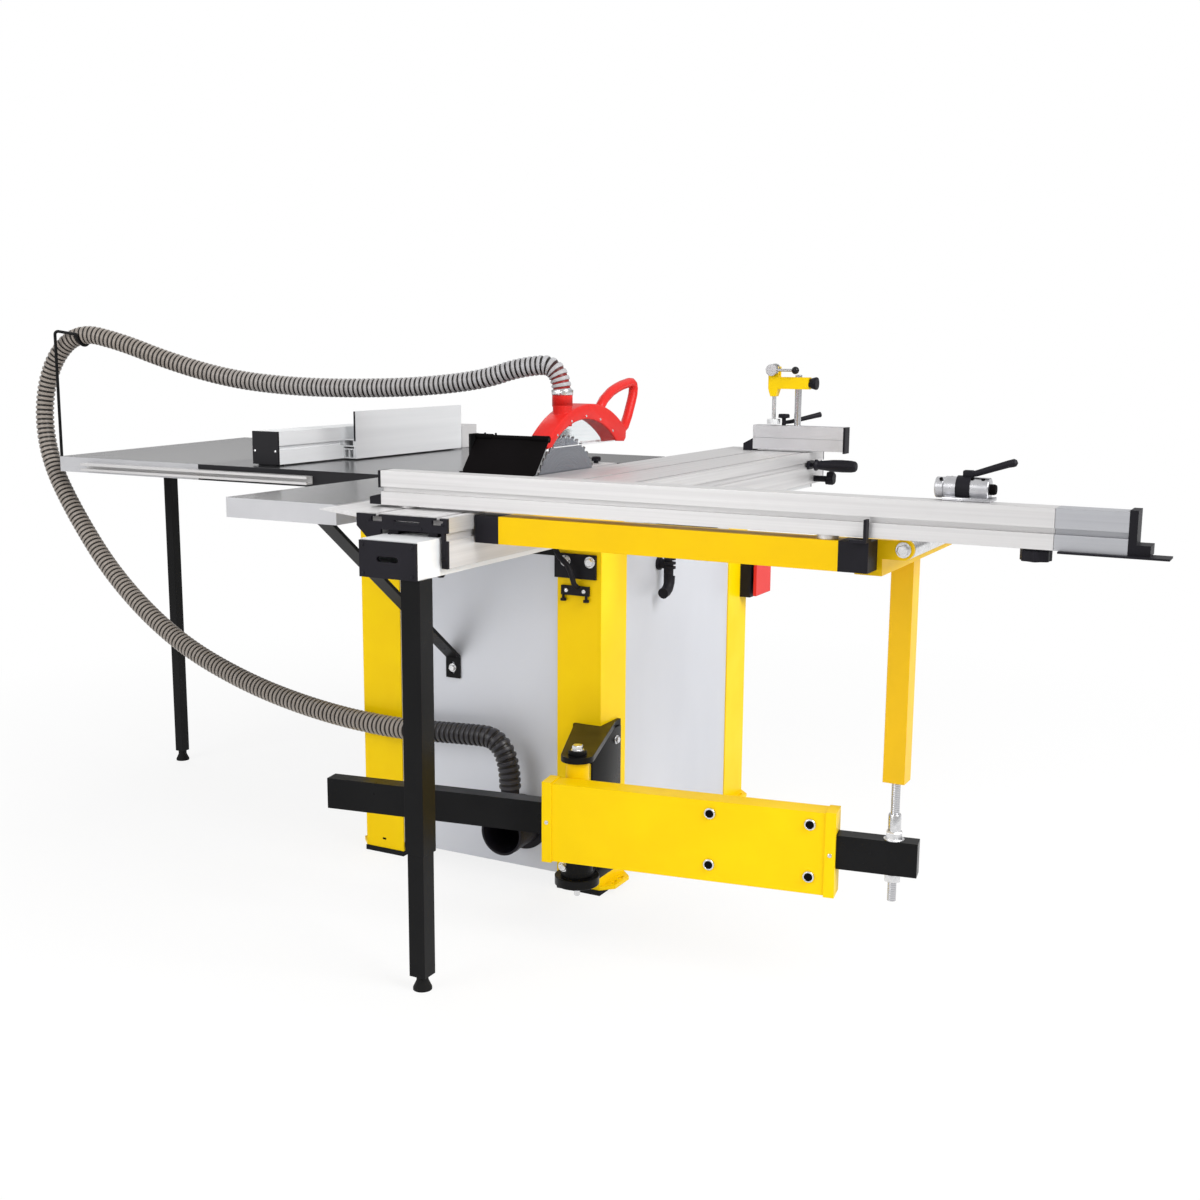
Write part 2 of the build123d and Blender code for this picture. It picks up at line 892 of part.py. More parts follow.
def legs():
    """The telescopic leg under the beam, the leg under the side table and the outfeed table's brace."""
    half = front_leg_tube / 2
    upper = hollow(front_leg_x - half, front_leg_x + half, front_leg_y - half, front_leg_y + half,
                   front_leg_split_z, beam_low_z, leg_wall, "Z")
    half = front_leg_inner / 2
    lower = hollow(front_leg_x - half, front_leg_x + half, front_leg_y - half, front_leg_y + half,
                   foot_height, front_leg_split_z + front_leg_overlap, leg_wall, "Z")
    half = side_leg_tube / 2
    side = hollow(side_leg_x - half, side_leg_x + half, side_leg_y - half, side_leg_y + half,
                  foot_height, table_z - sheet, leg_wall, "Z")
    flange_y = outfeed_rear_y - sheet
    foot_y = panel_y + brace_thickness
    top = underside_z + brace_tab
    strip = outline((panel_y, brace_wall_z - brace_foot), (foot_y, brace_wall_z - brace_foot),
                    (foot_y, brace_wall_z),
                    (flange_y, underside_z), (flange_y, top), (flange_y - brace_thickness, top),
                    (flange_y - brace_thickness, underside_z + brace_thickness),
                    (panel_y, brace_wall_z + brace_thickness))
    brace = along_x(strip, brace_x - brace_width / 2, brace_x + brace_width / 2)
    slot = Rot(0, 0, 90) * SlotOverall(brace_foot - 2 * brace_slot, brace_slot)
    brace -= along_y(Pos(brace_x, brace_wall_z - brace_foot / 2) * slot, panel_y - over, foot_y + over)
    add("support_legs", upper, lower, side, brace)


def carriage_slots(y0, y1):
    """The two T-slots of the carriage's deck and the groove of its outer side."""
    cut = block(carriage_left_x - over, carriage_left_x + groove_depth, y0, y1,
                groove_z - groove_height / 2, groove_z + groove_height / 2)
    for x in slot_places:
        cut += block(x - slot_mouth / 2, x + slot_mouth / 2, y0, y1, table_z - slot_depth, table_z + over)
        cut += block(x - slot_width / 2, x + slot_width / 2, y0, y1, table_z - slot_depth,
                     table_z - slot_mouth_depth)
    return cut


def sliding_table():
    """The fixed beam, the carriage that slides on it, its end plates and bearing strips."""
    add("slide_beam", hollow(beam_left_x, beam_right_x, beam_front_y, beam_rear_y, beam_low_z, beam_top_z,
                             beam_wall, "Y"))
    skirt_z = table_z - carriage_skirt_drop
    skirt_x = carriage_left_x + carriage_skirt
    inner_low = deck_z - carriage_inner_drop
    trunk = [(carriage_left_x, skirt_z), (skirt_x, skirt_z), (skirt_x, deck_z), (carriage_inner_x, deck_z),
             (carriage_inner_x, inner_low), (carriage_inner_x + carriage_inner_wall, inner_low),
             (lip_root_x, table_z - lip_root - lip_shoulder)]
    section = outline((lip_x, table_z), (carriage_left_x, table_z), *trunk, (lip_root_x, table_z - lip_root),
                      (lip_x, table_z - lip_edge))
    slots = carriage_slots(carriage_front_y - over, carriage_rear_y + over)
    add("carriage", along_y(section, carriage_front_y, carriage_rear_y) - slots)

    top = table_z - end_plate_drop
    face = outline((lip_root_x, top), (carriage_left_x, top), *trunk)
    window_x = (slot_places[0] + slot_places[1]) / 2
    window_z = (top + deck_z) / 2
    plates = []
    for y0 in (carriage_rear_y, carriage_front_y - end_plate):
        y1 = y0 + end_plate
        plate = along_y(face, y0, y1) - carriage_slots(y0 - over, y1 + over)
        plate -= block(window_x - end_window_width / 2, window_x + end_window_width / 2, y0 - over,
                       y1 + over,
                       window_z - end_window_height / 2, window_z + end_window_height / 2)
        plates.append(plate)
    add("carriage_end_plates", *plates)
    strips = (beam_left_x + bearing_inset, beam_right_x - bearing_inset - bearing_width)
    add("slide_bearings", *[block(x, x + bearing_width, carriage_front_y, carriage_rear_y,
                                  beam_top_z + seat_gap,
                                  deck_z) for x in strips])


def tilt_frame():
    """Side plates with arc ribs, two cross bars, the guide rods and the rise spindle."""
    left, right = rod_x - tilt_depth_x / 2, rod_x + tilt_depth_x / 2
    top = table_z - tilt_top_drop
    bar_low = top - tilt_bar
    bar_high = tilt_low_z + tilt_bar
    front, rear = tilt_planes(-1)[0], tilt_planes(1)[0]
    frame = block(left, right, front, rear, bar_low, top)
    frame += block(left, right, front, rear, tilt_low_z, bar_high)
    for side in (-1, 1):
        plate_inner, plate_outer, rib_end = tilt_planes(side)
        frame += block(left, right, plate_inner, plate_outer, tilt_low_z, top)
        frame += arc_about_tilt(arc_inner - arc_web, arc_outer, arc_start, arc_end, plate_inner, plate_outer)
        frame += arc_about_tilt(arc_inner, arc_outer, arc_start, arc_end, plate_outer, rib_end)
    for y in (saw_mid_y - rod_half_y, saw_mid_y + rod_half_y):
        frame += bar_z(bar_high, bar_low, rod_x, y, rod_radius)
    spindle = bar_z(bar_high - spindle_seat, bar_low + spindle_seat, rod_x, saw_mid_y + spindle_offset_y,
                    spindle_radius)
    add("tilt_frame", frame - spindle, spindle)
    return bar_low


def lifting_block(bar_low):
    """The block on the guide rods with the arbor's bearing, the motor's face plate and the knife's clamp."""
    left, right = rod_x - lift_block_depth / 2, rod_x + lift_block_depth / 2
    top = bar_low - seat_gap - lift_block_top
    low = top - lift_block_height
    plate_right = face_plate_x + face_plate
    bearing_end = face_plate_x + bearing_length
    arbor_end = bearing_end - face_plate
    unit = block(left, right, saw_mid_y - lift_block_half_y, saw_mid_y + lift_block_half_y, low, top)
    unit += bar_x(face_plate_x, bearing_end, blade_y, blade_z, bearing_radius)
    head = Pos(blade_y, blade_z) * Circle(bearing_radius)
    foot = Pos(blade_y, motor_z) * Circle(face_plate_radius)
    unit += along_x(make_hull(head.edges() + foot.edges()), face_plate_x, plate_right)
    unit += block(face_plate_x, left, blade_y - lift_web / 2, blade_y + lift_web / 2, low, top)
    unit -= bar_x(face_plate_x - over, arbor_end + over, blade_y, blade_z, arbor_radius + running_gap)
    unit -= bar_x(face_plate_x - over, plate_right + over, blade_y, motor_z,
                  motor_shaft_radius + running_gap)
    for y in (saw_mid_y - rod_half_y, saw_mid_y + rod_half_y):
        unit -= bar_z(low - over, top + over, rod_x, y, rod_radius + running_gap)
    unit -= bar_z(low - over, top + over, rod_x, saw_mid_y + spindle_offset_y, spindle_radius + running_gap)
    middle = blade_radius + knife_gap + knife_width / 2
    root = math.radians(knife_root_angle)
    y, z = blade_y + middle * math.cos(root), blade_z + middle * math.sin(root)
    half = knife_clamp / 2
    unit += block(blade_x + knife_plate / 2, left, y - half, y + half, z - half, z + half)
    add("arbor_housing", unit)
    return arbor_end


def drive(arbor_end):
    """Arbor with flange and nut, toothed blade, finned motor, motor pulley, belt and riving knife."""
    right = blade_x + blade_plate / 2
    left = blade_x - blade_plate / 2
    nose = left - flange_thickness - nut_length
    pulley_end = pulley_left_x + pulley_width
    arbor = bar_x(nose, right, blade_y, blade_z, blade_bore - running_gap)
    arbor += bar_x(right, right + flange_thickness, blade_y, blade_z, flange_radius)
    arbor += bar_x(right + flange_thickness, arbor_end, blade_y, blade_z, arbor_radius)
    arbor += bar_x(pulley_left_x, pulley_end, blade_y, blade_z, arbor_pulley_radius)
    nut = bar_x(left - flange_thickness, left, blade_y, blade_z, flange_radius)
    nut += along_x(Pos(blade_y, blade_z) * RegularPolygon(nut_radius, 6), nose, left - flange_thickness)
    nut -= bar_x(nose - over, left + over, blade_y, blade_z, blade_bore)
    add("arbor", arbor, nut)

    step = 360 / blade_teeth
    tooth = ((0.0, 0.0), (0.08, 1.0), (0.45, 0.9), (0.62, 0.28))
    points = []
    for index in range(blade_teeth):
        for share, depth in tooth:
            angle = math.radians((index + share) * step)
            radius = blade_radius - depth * tooth_depth
            points.append((blade_y + radius * math.cos(angle), blade_z + radius * math.sin(angle)))
    disc = outline(*points) - Pos(blade_y, blade_z) * Circle(blade_bore)
    for index in range(blade_slots):
        place = Pos(blade_y, blade_z) * Rot(0, 0, 360 / blade_slots * index + step / 4)
        slot = Pos(blade_radius - blade_slot_length / 2) * Rectangle(blade_slot_length, blade_slot_width)
        disc -= place * slot
    add("saw_blade", along_x(disc, left, right))

    start = face_plate_x + face_plate
    body = bar_x(start, start + motor_length, blade_y, motor_z, motor_radius - motor_fin)
    for index in range(motor_fins):
        turn = Pos(start, blade_y, motor_z) * Rot(360 / motor_fins * index, 0, 0)
        body += turn * block(0, motor_length - motor_cowl, -motor_fin_width / 2, motor_fin_width / 2,
                             motor_radius - 2 * motor_fin, motor_radius)
    body += bar_x(start + motor_length - motor_cowl, start + motor_length, blade_y, motor_z, motor_radius)
    body -= bar_x(start - over, start + motor_shaft_depth, blade_y, motor_z,
                  motor_shaft_radius + running_gap)
    add("motor", body)
    pulley = bar_x(pulley_left_x, start + motor_shaft_depth - seat_gap, blade_y, motor_z, motor_shaft_radius)
    pulley += bar_x(pulley_left_x, pulley_end, blade_y, motor_z, motor_pulley_radius)
    add("motor_pulley", pulley)

    def loop(extra):
        """The outline round both pulleys at a distance from their rims."""
        top = Pos(blade_y, blade_z) * Circle(arbor_pulley_radius + extra)
        low = Pos(blade_y, motor_z) * Circle(motor_pulley_radius + extra)
        return make_hull(top.edges() + low.edges())

    belt_left = pulley_left_x + (pulley_width - belt_width) / 2
    ring = loop(belt_thickness + seat_gap) - loop(seat_gap)
    add("drive_belt", along_x(ring, belt_left, belt_left + belt_width))

    inner = blade_radius + knife_gap
    knife = ring_sector((blade_y, blade_z), inner, inner + knife_width, knife_root_angle, knife_top_angle)
    add("riving_knife", along_x(knife, blade_x - knife_plate / 2, blade_x + knife_plate / 2))


def guard():
    """The arched hood with hose stub, loop handle and knife cheeks, and its two clear panes."""
    left, right = blade_x - guard_width / 2, blade_x + guard_width / 2
    rear_y, front_y = blade_y + guard_rear_offset, blade_y - guard_front_offset
    crown_y = (rear_y + front_y) / 2
    crown_z = guard_low_z + guard_crown

    def arch(inset, low):
        """The hood's side view, drawn in by a distance, down to a level."""
        rear = (rear_y - inset, guard_low_z + guard_tail - inset)
        nose = (front_y + inset, guard_low_z + guard_nose - min(inset, guard_nose / 2))
        edges = [ThreePointArc(rear, (crown_y, crown_z - inset), nose), Line(nose, (nose[0], low)),
                 Line((nose[0], low), (rear[0], low)), Line((rear[0], low), rear)]
        return make_face(Curve() + edges)

    below = guard_low_z - 2 * guard_wall
    hood = along_x(arch(0, guard_low_z), left, right)
    hood += bar_z(crown_z - stub_root, stub_top_z, blade_x, stub_y, stub_radius)
    route = FilletPolyline((blade_x, blade_y - grip_low_offset, crown_z - guard_wall),
                           (blade_x, blade_y - (grip_low_offset + grip_reach) / 2, table_z + grip_rise),
                           (blade_x, blade_y - grip_reach + grip_bend, table_z + grip_crown),
                           (blade_x, blade_y - grip_reach, table_z + grip_rise - 2 * grip_bend),
                           (blade_x, front_y + grip_corner, guard_low_z + guard_nose / 2), radius=grip_bend)
    start = Plane(origin=route @ 0, x_dir=(1, 0, 0), z_dir=route % 0)
    hood += sweep(start * RectangleRounded(grip_size, grip_size, grip_corner), path=route)
    hood -= along_x(arch(guard_wall, below), left + guard_wall, right - guard_wall)
    window = along_x(arch(guard_band, below), left - over, right + over)
    hood -= window - block(left - 2 * over, right + 2 * over, rear_y - guard_solid_tail, rear_y + over,
                           below - over, crown_z)
    hood -= bar_z(guard_low_z + guard_wall, stub_top_z + over, blade_x, stub_y, stub_radius - stub_wall)
    cheek_rear = rear_y - cheek_inset
    cheek_low = guard_low_z - cheek_drop
    blade_room = bar_x(left, right, blade_y, blade_z, blade_radius + knife_gap)
    slit = knife_plate / 2 + seat_gap
    hood -= bar_x(blade_x - slit, blade_x + slit, blade_y, blade_z,
                  blade_radius + knife_gap + knife_width + slide_gap)
    for side in (-1, 1):
        face_x = blade_x + side * slit
        wall_x = blade_x + side * (guard_width - guard_wall) / 2
        hood += block(face_x, wall_x, cheek_rear - cheek_length, cheek_rear, cheek_low,
                      cheek_low + cheek_height) - blade_room
    add("saw_guard", hood)

    panes = []
    for x in (left + guard_wall, right - guard_wall - pane_thickness):
        pane = along_x(arch(guard_band - pane_lap, guard_low_z + seat_gap), x, x + pane_thickness)
        pane -= block(x - over, x + pane_thickness + over, rear_y - guard_solid_tail + pane_lap, rear_y,
                      below,
                      crown_z)
        panes.append(pane)
    add("guard_windows", *panes)


def hook_and_flap(route):
    """The flap behind the guard with its post on the table, and the rod that carries the hose."""
    left = blade_x - flap_left
    right = left + flap_width
    hinge_y = blade_y + guard_rear_offset + flap_gap
    hinge_z = table_z + flap_hinge_lift
    front, rear = hinge_y - flap_knuckle, hinge_y + flap_post_depth
    side_x = right + over
    post = block(side_x, side_x + flap_post, front, rear, table_z, hinge_z + flap_knuckle)
    post += block(side_x, side_x + flap_post_foot, front, rear, table_z, table_z + flap_post_base)
    post += bar_x(left, side_x + over, hinge_y, hinge_z, flap_pin)
    plate = RectangleRounded(flap_width, flap_length, flap_corner)
    plate = Pos((left + right) / 2, -flap_length / 2) * plate
    flap = along_y(plate, -flap_thickness / 2, flap_thickness / 2)
    flap -= block(left - over, right + over, -flap_knuckle, flap_knuckle, -flap_pin - over, flap_knuckle)
    for x in (left, right - flap_knuckle_length):
        flap += bar_x(x, x + flap_knuckle_length, 0, 0, flap_knuckle)
    flap -= bar_x(left - over, right + over, 0, 0, flap_pin + running_gap)
    add("rear_flap", Pos(0, hinge_y, hinge_z) * Rot(flap_lean, 0, 0) * flap)

    places = [index / 400 for index in range(401)]
    above = [share for share in places if (route @ share).Z > table_z]
    share = min(above, key=lambda place: abs((route @ place).X - hook_turn_x))
    seat = Plane(origin=route @ share, x_dir=(0, 1, 0), z_dir=route % share)
    radius = hose_crest + seat_gap + hook_rod
    down = -1 if seat.y_dir.Z > 0 else 1
    ends = [seat.from_local_coords(Vector(x, y)) for x, y in ((radius, 0), (0, down * radius), (-radius, 0))]
    cradle = ThreePointArc(*ends)
    hook = sweep(Plane(origin=cradle @ 0, z_dir=cradle % 0) * Circle(hook_rod), path=cradle)
    edge_slope = (side_front_x - side_rear_x) / (table_rear_y - table_front_y)
    edge_x = side_rear_x + edge_slope * (table_rear_y - hook_y)
    foot_z = table_z - hook_foot_drop
    line = FilletPolyline((edge_x + hook_rod, hook_y, foot_z), (hook_x, hook_y, foot_z),
                          (hook_x, hook_y, ends[0].Z + hook_bend), tuple(ends[0]), radius=hook_bend)
    hook += sweep(Plane(origin=line @ 0, z_dir=line % 0) * Circle(hook_rod), path=line)
    hook += Pos(*ends[0]) * Sphere(hook_rod)
    half = hook_foot / 2
    lean = edge_slope * half
    base = outline((edge_x + lean, hook_y - half), (edge_x + lean + 2 * hook_rod, hook_y - half),
                   (edge_x - lean + 2 * hook_rod, hook_y + half), (edge_x - lean, hook_y + half))
    hook += along_z(base, foot_z - half, foot_z + half)
    add("stand_brackets", hook, post)


def rip_fence():
    """The rip fence's box section, its end pieces and clamp lever, and the tall face that slides along it."""
    left, right = rip_left_x, rip_left_x + rip_width
    front = table_front_y + rip_head_lap
    low = table_z + rip_lift
    top = low + rip_height
    groove = low + rip_height / 2
    half = rip_groove / 2
    body = hollow(left, right, front, rip_rear_y, low, top, rip_wall, "Y")
    body += block(left, left + rip_groove_depth + rip_wall, front, rip_rear_y,
                  groove - half - rip_groove_wall,
                  groove + half + rip_groove_wall)
    body -= block(left - over, left + rip_groove_depth, front - over, rip_rear_y + over, groove - half,
                  groove + half)
    add("rip_fence", body)

    cap = block(left, right, rip_rear_y, rip_rear_y + rip_cap, low, top)
    foot = block(left + rip_foot_inset, right - rip_foot_inset, rip_rear_y - rip_foot, rip_rear_y,
                 table_z + seat_gap, low)
    head_left, head_right = left - rip_head_margin, right + rip_head_margin
    head_front = guide_bar_y - rip_head_reach
    head_low = guide_bar_z - guide_bar_radius - rip_head_drop
    head = block(head_left, head_right, head_front, front, head_low, low + rip_head_height)
    head -= block(head_left - over, head_right + over, guide_bar_y + guide_bar_radius / 2, front + over,
                  head_low - over, table_z + seat_gap)
    head -= bar_x(head_left - over, head_right + over, guide_bar_y, guide_bar_z,
                  guide_bar_radius + running_gap)
    reach = guide_block_height / 2 + slide_gap
    head -= block(head_left - over, head_right + over, guide_bar_y, front, guide_bar_z - reach,
                  guide_bar_z + reach)
    lever_x = (left + right) / 2
    lever_z = low + rip_head_height / 2
    head -= bar_y(head_front - over, head_front + rip_shaft_depth + seat_gap, lever_x, lever_z,
                  rip_shaft + running_gap)
    add("rip_fence_ends", cap, foot, head)
    lever_y = head_front - rip_lever_gap
    lever = bar_y(lever_y - rip_lever_rod, head_front + rip_shaft_depth, lever_x, lever_z, rip_shaft)
    lever += bar_z(lever_z - rip_lever_length, lever_z, lever_x, lever_y, rip_lever_rod)
    lever += Pos(lever_x, lever_y, lever_z - rip_lever_length) * Sphere(rip_ball)
    add("rip_lever", lever)

    rear, end = rip_plate_rear_y, rip_plate_rear_y - rip_plate_length
    side = left - slide_gap
    inner = side - rip_base_width
    middle = inner + rip_base_width / 2
    tie = rip_tie_height / 2
    tongue = half - slide_gap
    plate = block(inner - rip_plate, inner, end, rear, low, low + rip_plate_height)
    plate += hollow(inner, side, end, rear, low, low + rip_base_height, rip_base_wall, "Y")
    plate += block(middle - rip_base_wall / 2, middle + rip_base_wall / 2, end, rear, low,
                   low + rip_base_height)
    plate += hollow(inner, side, end, rear, groove - tie, groove + tie, rip_base_wall, "Y")
    plate += block(side, left + rip_groove_depth - slide_gap, end, rear, groove - tongue, groove + tongue)
    add("rip_plate", plate)


def outrigger(support_x):
    """The welded frame on the carriage's groove, with its caps, stop tab and roller."""
    top, low = outrigger_top_z, outrigger_low_z
    right = outrigger_right_x - outrigger_cap
    left = outrigger_left_x + outrigger_cap
    rear = outrigger_rear_y - outrigger_bar
    front = outrigger_front_y + outrigger_bar
    frame = hollow(right - outrigger_cross, right, front, rear, low, top, outrigger_wall, "Y")
    caps = []
    for y in (rear, outrigger_front_y):
        frame += hollow(left, right, y, y + outrigger_bar, low, top, outrigger_wall, "X")
        caps.append(block(right, outrigger_right_x, y, y + outrigger_bar, low, top))
        caps.append(block(outrigger_left_x, left, y, y + outrigger_bar, low, top))
    cross_left, cross_right = support_x - outer_cross / 2, support_x + outer_cross / 2
    cross_top = top - outer_cross_top
    frame += hollow(cross_left, cross_right, front + ear_plate, rear - ear_plate, outer_cross_low, cross_top,
                    outrigger_wall, "Y")
    roller_x = outrigger_left_x - roller_offset
    roller_z = table_z - roller_radius
    for y in (front, rear - ear_plate):
        ear = block(roller_x, left + ear_lap, y, y + ear_plate, roller_z - ear_radius,
                    roller_z + ear_radius - outrigger_drop)
        ear += bar_y(y, y + ear_plate, roller_x, roller_z, ear_radius)
        ear += block(cross_left, cross_right, y, y + ear_plate, outer_cross_low, cross_top)
        frame += ear - bar_y(y - over, y + ear_plate + over, roller_x, roller_z, roller_axle + running_gap)
    tongue = carriage_left_x + groove_depth - slide_gap
    half = groove_clamp_height / 2
    tongue_half = groove_height / 2 - seat_gap
    for y in (front + groove_clamp_inset, rear - groove_clamp_inset):
        y0, y1 = y - groove_clamp_width / 2, y + groove_clamp_width / 2
        frame += block(right, carriage_left_x - seat_gap, y0, y1, groove_z - half, groove_z + half)
        frame += block(carriage_left_x - over, tongue, y0, y1, groove_z - tongue_half,
                       groove_z + tongue_half)
    add("outrigger_frame", frame)
    tab = block(outrigger_left_x, outrigger_left_x + tab_length, outrigger_rear_y - tab_reach,
                outrigger_rear_y + tab_reach, top, top + tab_plate)
    tab += block(outrigger_left_x, outrigger_left_x + tab_plate, outrigger_rear_y + seat_gap,
                 outrigger_rear_y + tab_reach, top, top + tab_height)
    add("outrigger_caps", *caps, tab)
    roller = bar_y(front + ear_plate + roller_end_gap, rear - ear_plate - roller_end_gap, roller_x, roller_z,
                   roller_radius)
    roller += bar_y(front - axle_end, rear + axle_end, roller_x, roller_z, roller_axle)
    add("outrigger_roller", roller)


def fence_section(x0, x1):
    """A length of the crosscut fence's grooved box section."""
    groove = fence_low_z + fence_groove_rise
    half = fence_groove / 2
    bar = hollow(x0, x1, fence_front_y, fence_rear_y, fence_low_z, fence_top_z, fence_wall, "X")
    bar += block(x0, x1, fence_rear_y - fence_groove_depth - fence_wall, fence_rear_y,
                 groove - half - fence_groove_wall, groove + half + fence_groove_wall)
    return bar - block(x0 - over, x1 + over, fence_rear_y - fence_groove_depth, fence_rear_y + over,
                       groove - half, groove + half)


def crosscut_fence():
    """The crosscut fence with its end blocks, telescopic end and clamp knob."""
    low, top, front, rear = fence_low_z, fence_top_z, fence_front_y, fence_rear_y
    body = fence_section(fence_left_x, fence_right_x)
    body += bar_z(table_z + seat_gap, low + over, fence_pivot_x, fence_mid_y, fence_disc)
    body += bar_z(outrigger_top_z + seat_gap, low + over, fence_foot_x, fence_mid_y, fence_disc)
    body += bar_z(table_z - slot_mouth_depth, low, fence_pivot_x, fence_mid_y, slot_mouth / 2 - seat_gap)
    knob_x, knob_y = fence_left_x + knob_inset, front + knob_radius
    body -= bar_z(low - over, low + fence_wall + over, knob_x, knob_y, knob_stud + running_gap)
    add("crosscut_fence", body)
    cap = block(fence_right_x, fence_right_x + fence_cap, front, rear, low + fence_cap_rise, top)
    tip = fence_right_x + wedge_length
    nose = outline((fence_right_x, low), (tip, low), (tip, low + wedge_tip),
                   (fence_right_x, low + wedge_height))
    add("fence_end_blocks", cap, along_y(nose, front, rear))

    seam = fence_left_x - slide_gap
    end = fence_left_x - extension_length
    inset = fence_wall + slide_gap
    tongue_rear = rear - fence_groove_depth - inset
    tail = fence_section(end, seam)
    tail += hollow(end, fence_left_x + extension_tongue, front + inset, tongue_rear, low + inset,
                   top - inset,
                   extension_wall, "X")
    tail += block(end, seam, front + fence_wall, tongue_rear + slide_gap, low + fence_wall, low + inset)
    add("fence_extension", tail)
    cap_left = end - extension_cap
    cover = block(cap_left, end, front, rear, low, top + extension_cap_rise)
    cover += block(cap_left - extension_step, cap_left, front, rear, low, low + extension_step_height)
    plate_left = end - tip_reach
    plate = block(plate_left, plate_left + tip_length, front + extension_cap, rear + tip_front,
                  low - tip_plate,
                  low)
    add("extension_end", cover, plate)
    shank = bar_z(low - knob_drop - over, low + fence_wall - seat_gap, knob_x, knob_y, knob_stud)
    turned = Pos(knob_x, knob_y, low - knob_drop) * Rot(180, 0, 0) * knob(knob_radius, knob_height)
    add("fence_knob", turned + shank)


def flip_stop():
    """The length stop that slides on the crosscut fence, and its lever on the drum's neck."""
    left = fence_left_x + stop_inset
    right = left + stop_length
    top, front, rear = fence_top_z, fence_front_y, fence_rear_y
    axis_y = front - stop_offset
    axis_z = top + stop_radius + slide_gap
    plate_left, plate_right = left + stop_end, right - stop_end
    carrier = bar_x(left, right, axis_y, axis_z, stop_radius)
    carrier += block(plate_left, plate_right, front - stop_plate, rear - stop_plate, top + seat_gap, axis_z)
    carrier += block(plate_left, plate_right, front - stop_plate, front - slide_gap, top - stop_skirt,
                     axis_z)
    ring_left = left + stop_ring_inset
    ring_right = ring_left + stop_ring
    room_left, room_right = ring_left - seat_gap, ring_right + seat_gap
    carrier -= bar_x(room_left, room_right, axis_y, axis_z, stop_radius + slide_gap)
    carrier -= block(room_left, room_right, axis_y, rear, top - over, axis_z + stop_radius)
    add("flip_stop", carrier + bar_x(room_left - over, room_right + over, axis_y, axis_z, stop_neck))
    ring = bar_x(ring_left, ring_right, axis_y, axis_z, stop_radius)
    tip_x = (ring_left + ring_right) / 2 - stop_lever_reach
    tip_z = axis_z + stop_lever_rise
    half = stop_lever_tip / 2
    arm = outline((ring_left + over, axis_z), (ring_right - over, axis_z),
                  (ring_right - over, axis_z + stop_lever_root + half), (tip_x + half, tip_z + half),
                  (tip_x - half, tip_z - half), (ring_left + over, axis_z + stop_lever_root))
    ring += along_y(arm, axis_y - stop_lever_width / 2, axis_y + stop_lever_width / 2)
    add("stop_lever", ring - bar_x(room_left, room_right, axis_y, axis_z, stop_neck + running_gap))


def on_arm(shape):
    """Places a shape drawn along the arm, its pivot at the origin, at the arm's rest angle."""
    return Pos(pivot_x, pivot_y, 0) * Rot(0, 0, arm_angle) * shape


def swing_arm():
    """The arm's box with guide rollers, the telescopic tube, and the support post on its screw."""
    low, top = arm_low_z, arm_low_z + arm_height
    front = arm_back + arm_depth
    box = block(-arm_reach, arm_tail, arm_back, front, low, top)
    for u in (-arm_reach, arm_tail - collar_length):
        box += block(u, u + collar_length, arm_back, front + collar_rim, low - collar_rim, top + collar_rim)
    box += block(-web_width / 2, web_width / 2, 0, arm_back, low + web_margin, top - web_margin)
    box += bar_z(bracket_low_z + bracket_plate + seat_gap, bracket_top_z - bracket_plate - seat_gap, 0, 0,
                 sleeve_radius)
    box -= block(-arm_reach - over, arm_tail + over, arm_back + arm_wall, front - arm_wall, low + arm_wall,
                 top - arm_wall)
    box -= bar_z(bracket_low_z, bracket_top_z, 0, 0, pin_radius + running_gap)
    rollers = []
    drop = tube_height / 2 + guide_roller_radius + seat_gap
    for u in guide_roller_places:
        for z in (tube_z - drop, tube_z + drop):
            box -= bar_y(arm_back - over, front + over, u, z, guide_roller_axle + running_gap)
            roller = bar_y(arm_back + arm_wall + seat_gap, front - arm_wall - seat_gap, u, z,
                           guide_roller_radius)
            rollers.append(roller + bar_y(arm_back, front + guide_roller_head, u, z, guide_roller_axle))
    add("swing_arm", on_arm(box), *[on_arm(roller) for roller in rollers])

    v0, v1 = tube_v - tube_width / 2, tube_v + tube_width / 2
    z0, z1 = tube_z - tube_height / 2, tube_z + tube_height / 2
    tube = hollow(-tube_reach, tube_tail, v0, v1, z0, z1, tube_wall, "X")
    for u in (-tube_reach, tube_tail - tube_plug):
        tube += block(u, u + tube_plug, v0, v1, z0, z1)
    tube -= bar_z(z0 - over, z1 + over, -screw_reach, tube_v, screw_radius + running_gap)
    add("arm_tube", on_arm(tube))
    post_at = on_arm(Pos(-screw_reach, tube_v, 0) * Box(1, 1, 1)).center()
    x, y = post_at.X, post_at.Y
    plug_top = support_low_z + support_plug
    pieces = [bar_z(screw_low_z, plug_top, x, y, screw_radius)]
    flats = Pos(x, y) * RegularPolygon(screw_nut / 2, 6, major_radius=False)
    flats -= Pos(x, y) * Circle(screw_radius)
    for z in (z1, z0 - screw_nut_height):
        pieces.append(along_z(flats, z, z + screw_nut_height))
    half = support_post / 2
    post_top = outer_cross_low - slide_gap
    post = hollow(x - half, x + half, y - half, y + half, support_low_z, post_top, support_wall, "Z")
    post += block(x - half, x + half, y - half, y + half, support_low_z, plug_top)
    post += block(x - half, x + half, y - half, y + half, post_top - support_cap, post_top)
    post -= bar_z(support_low_z - over, plug_top, x, y, screw_radius)
    add("support_post", post, *pieces)
    return x


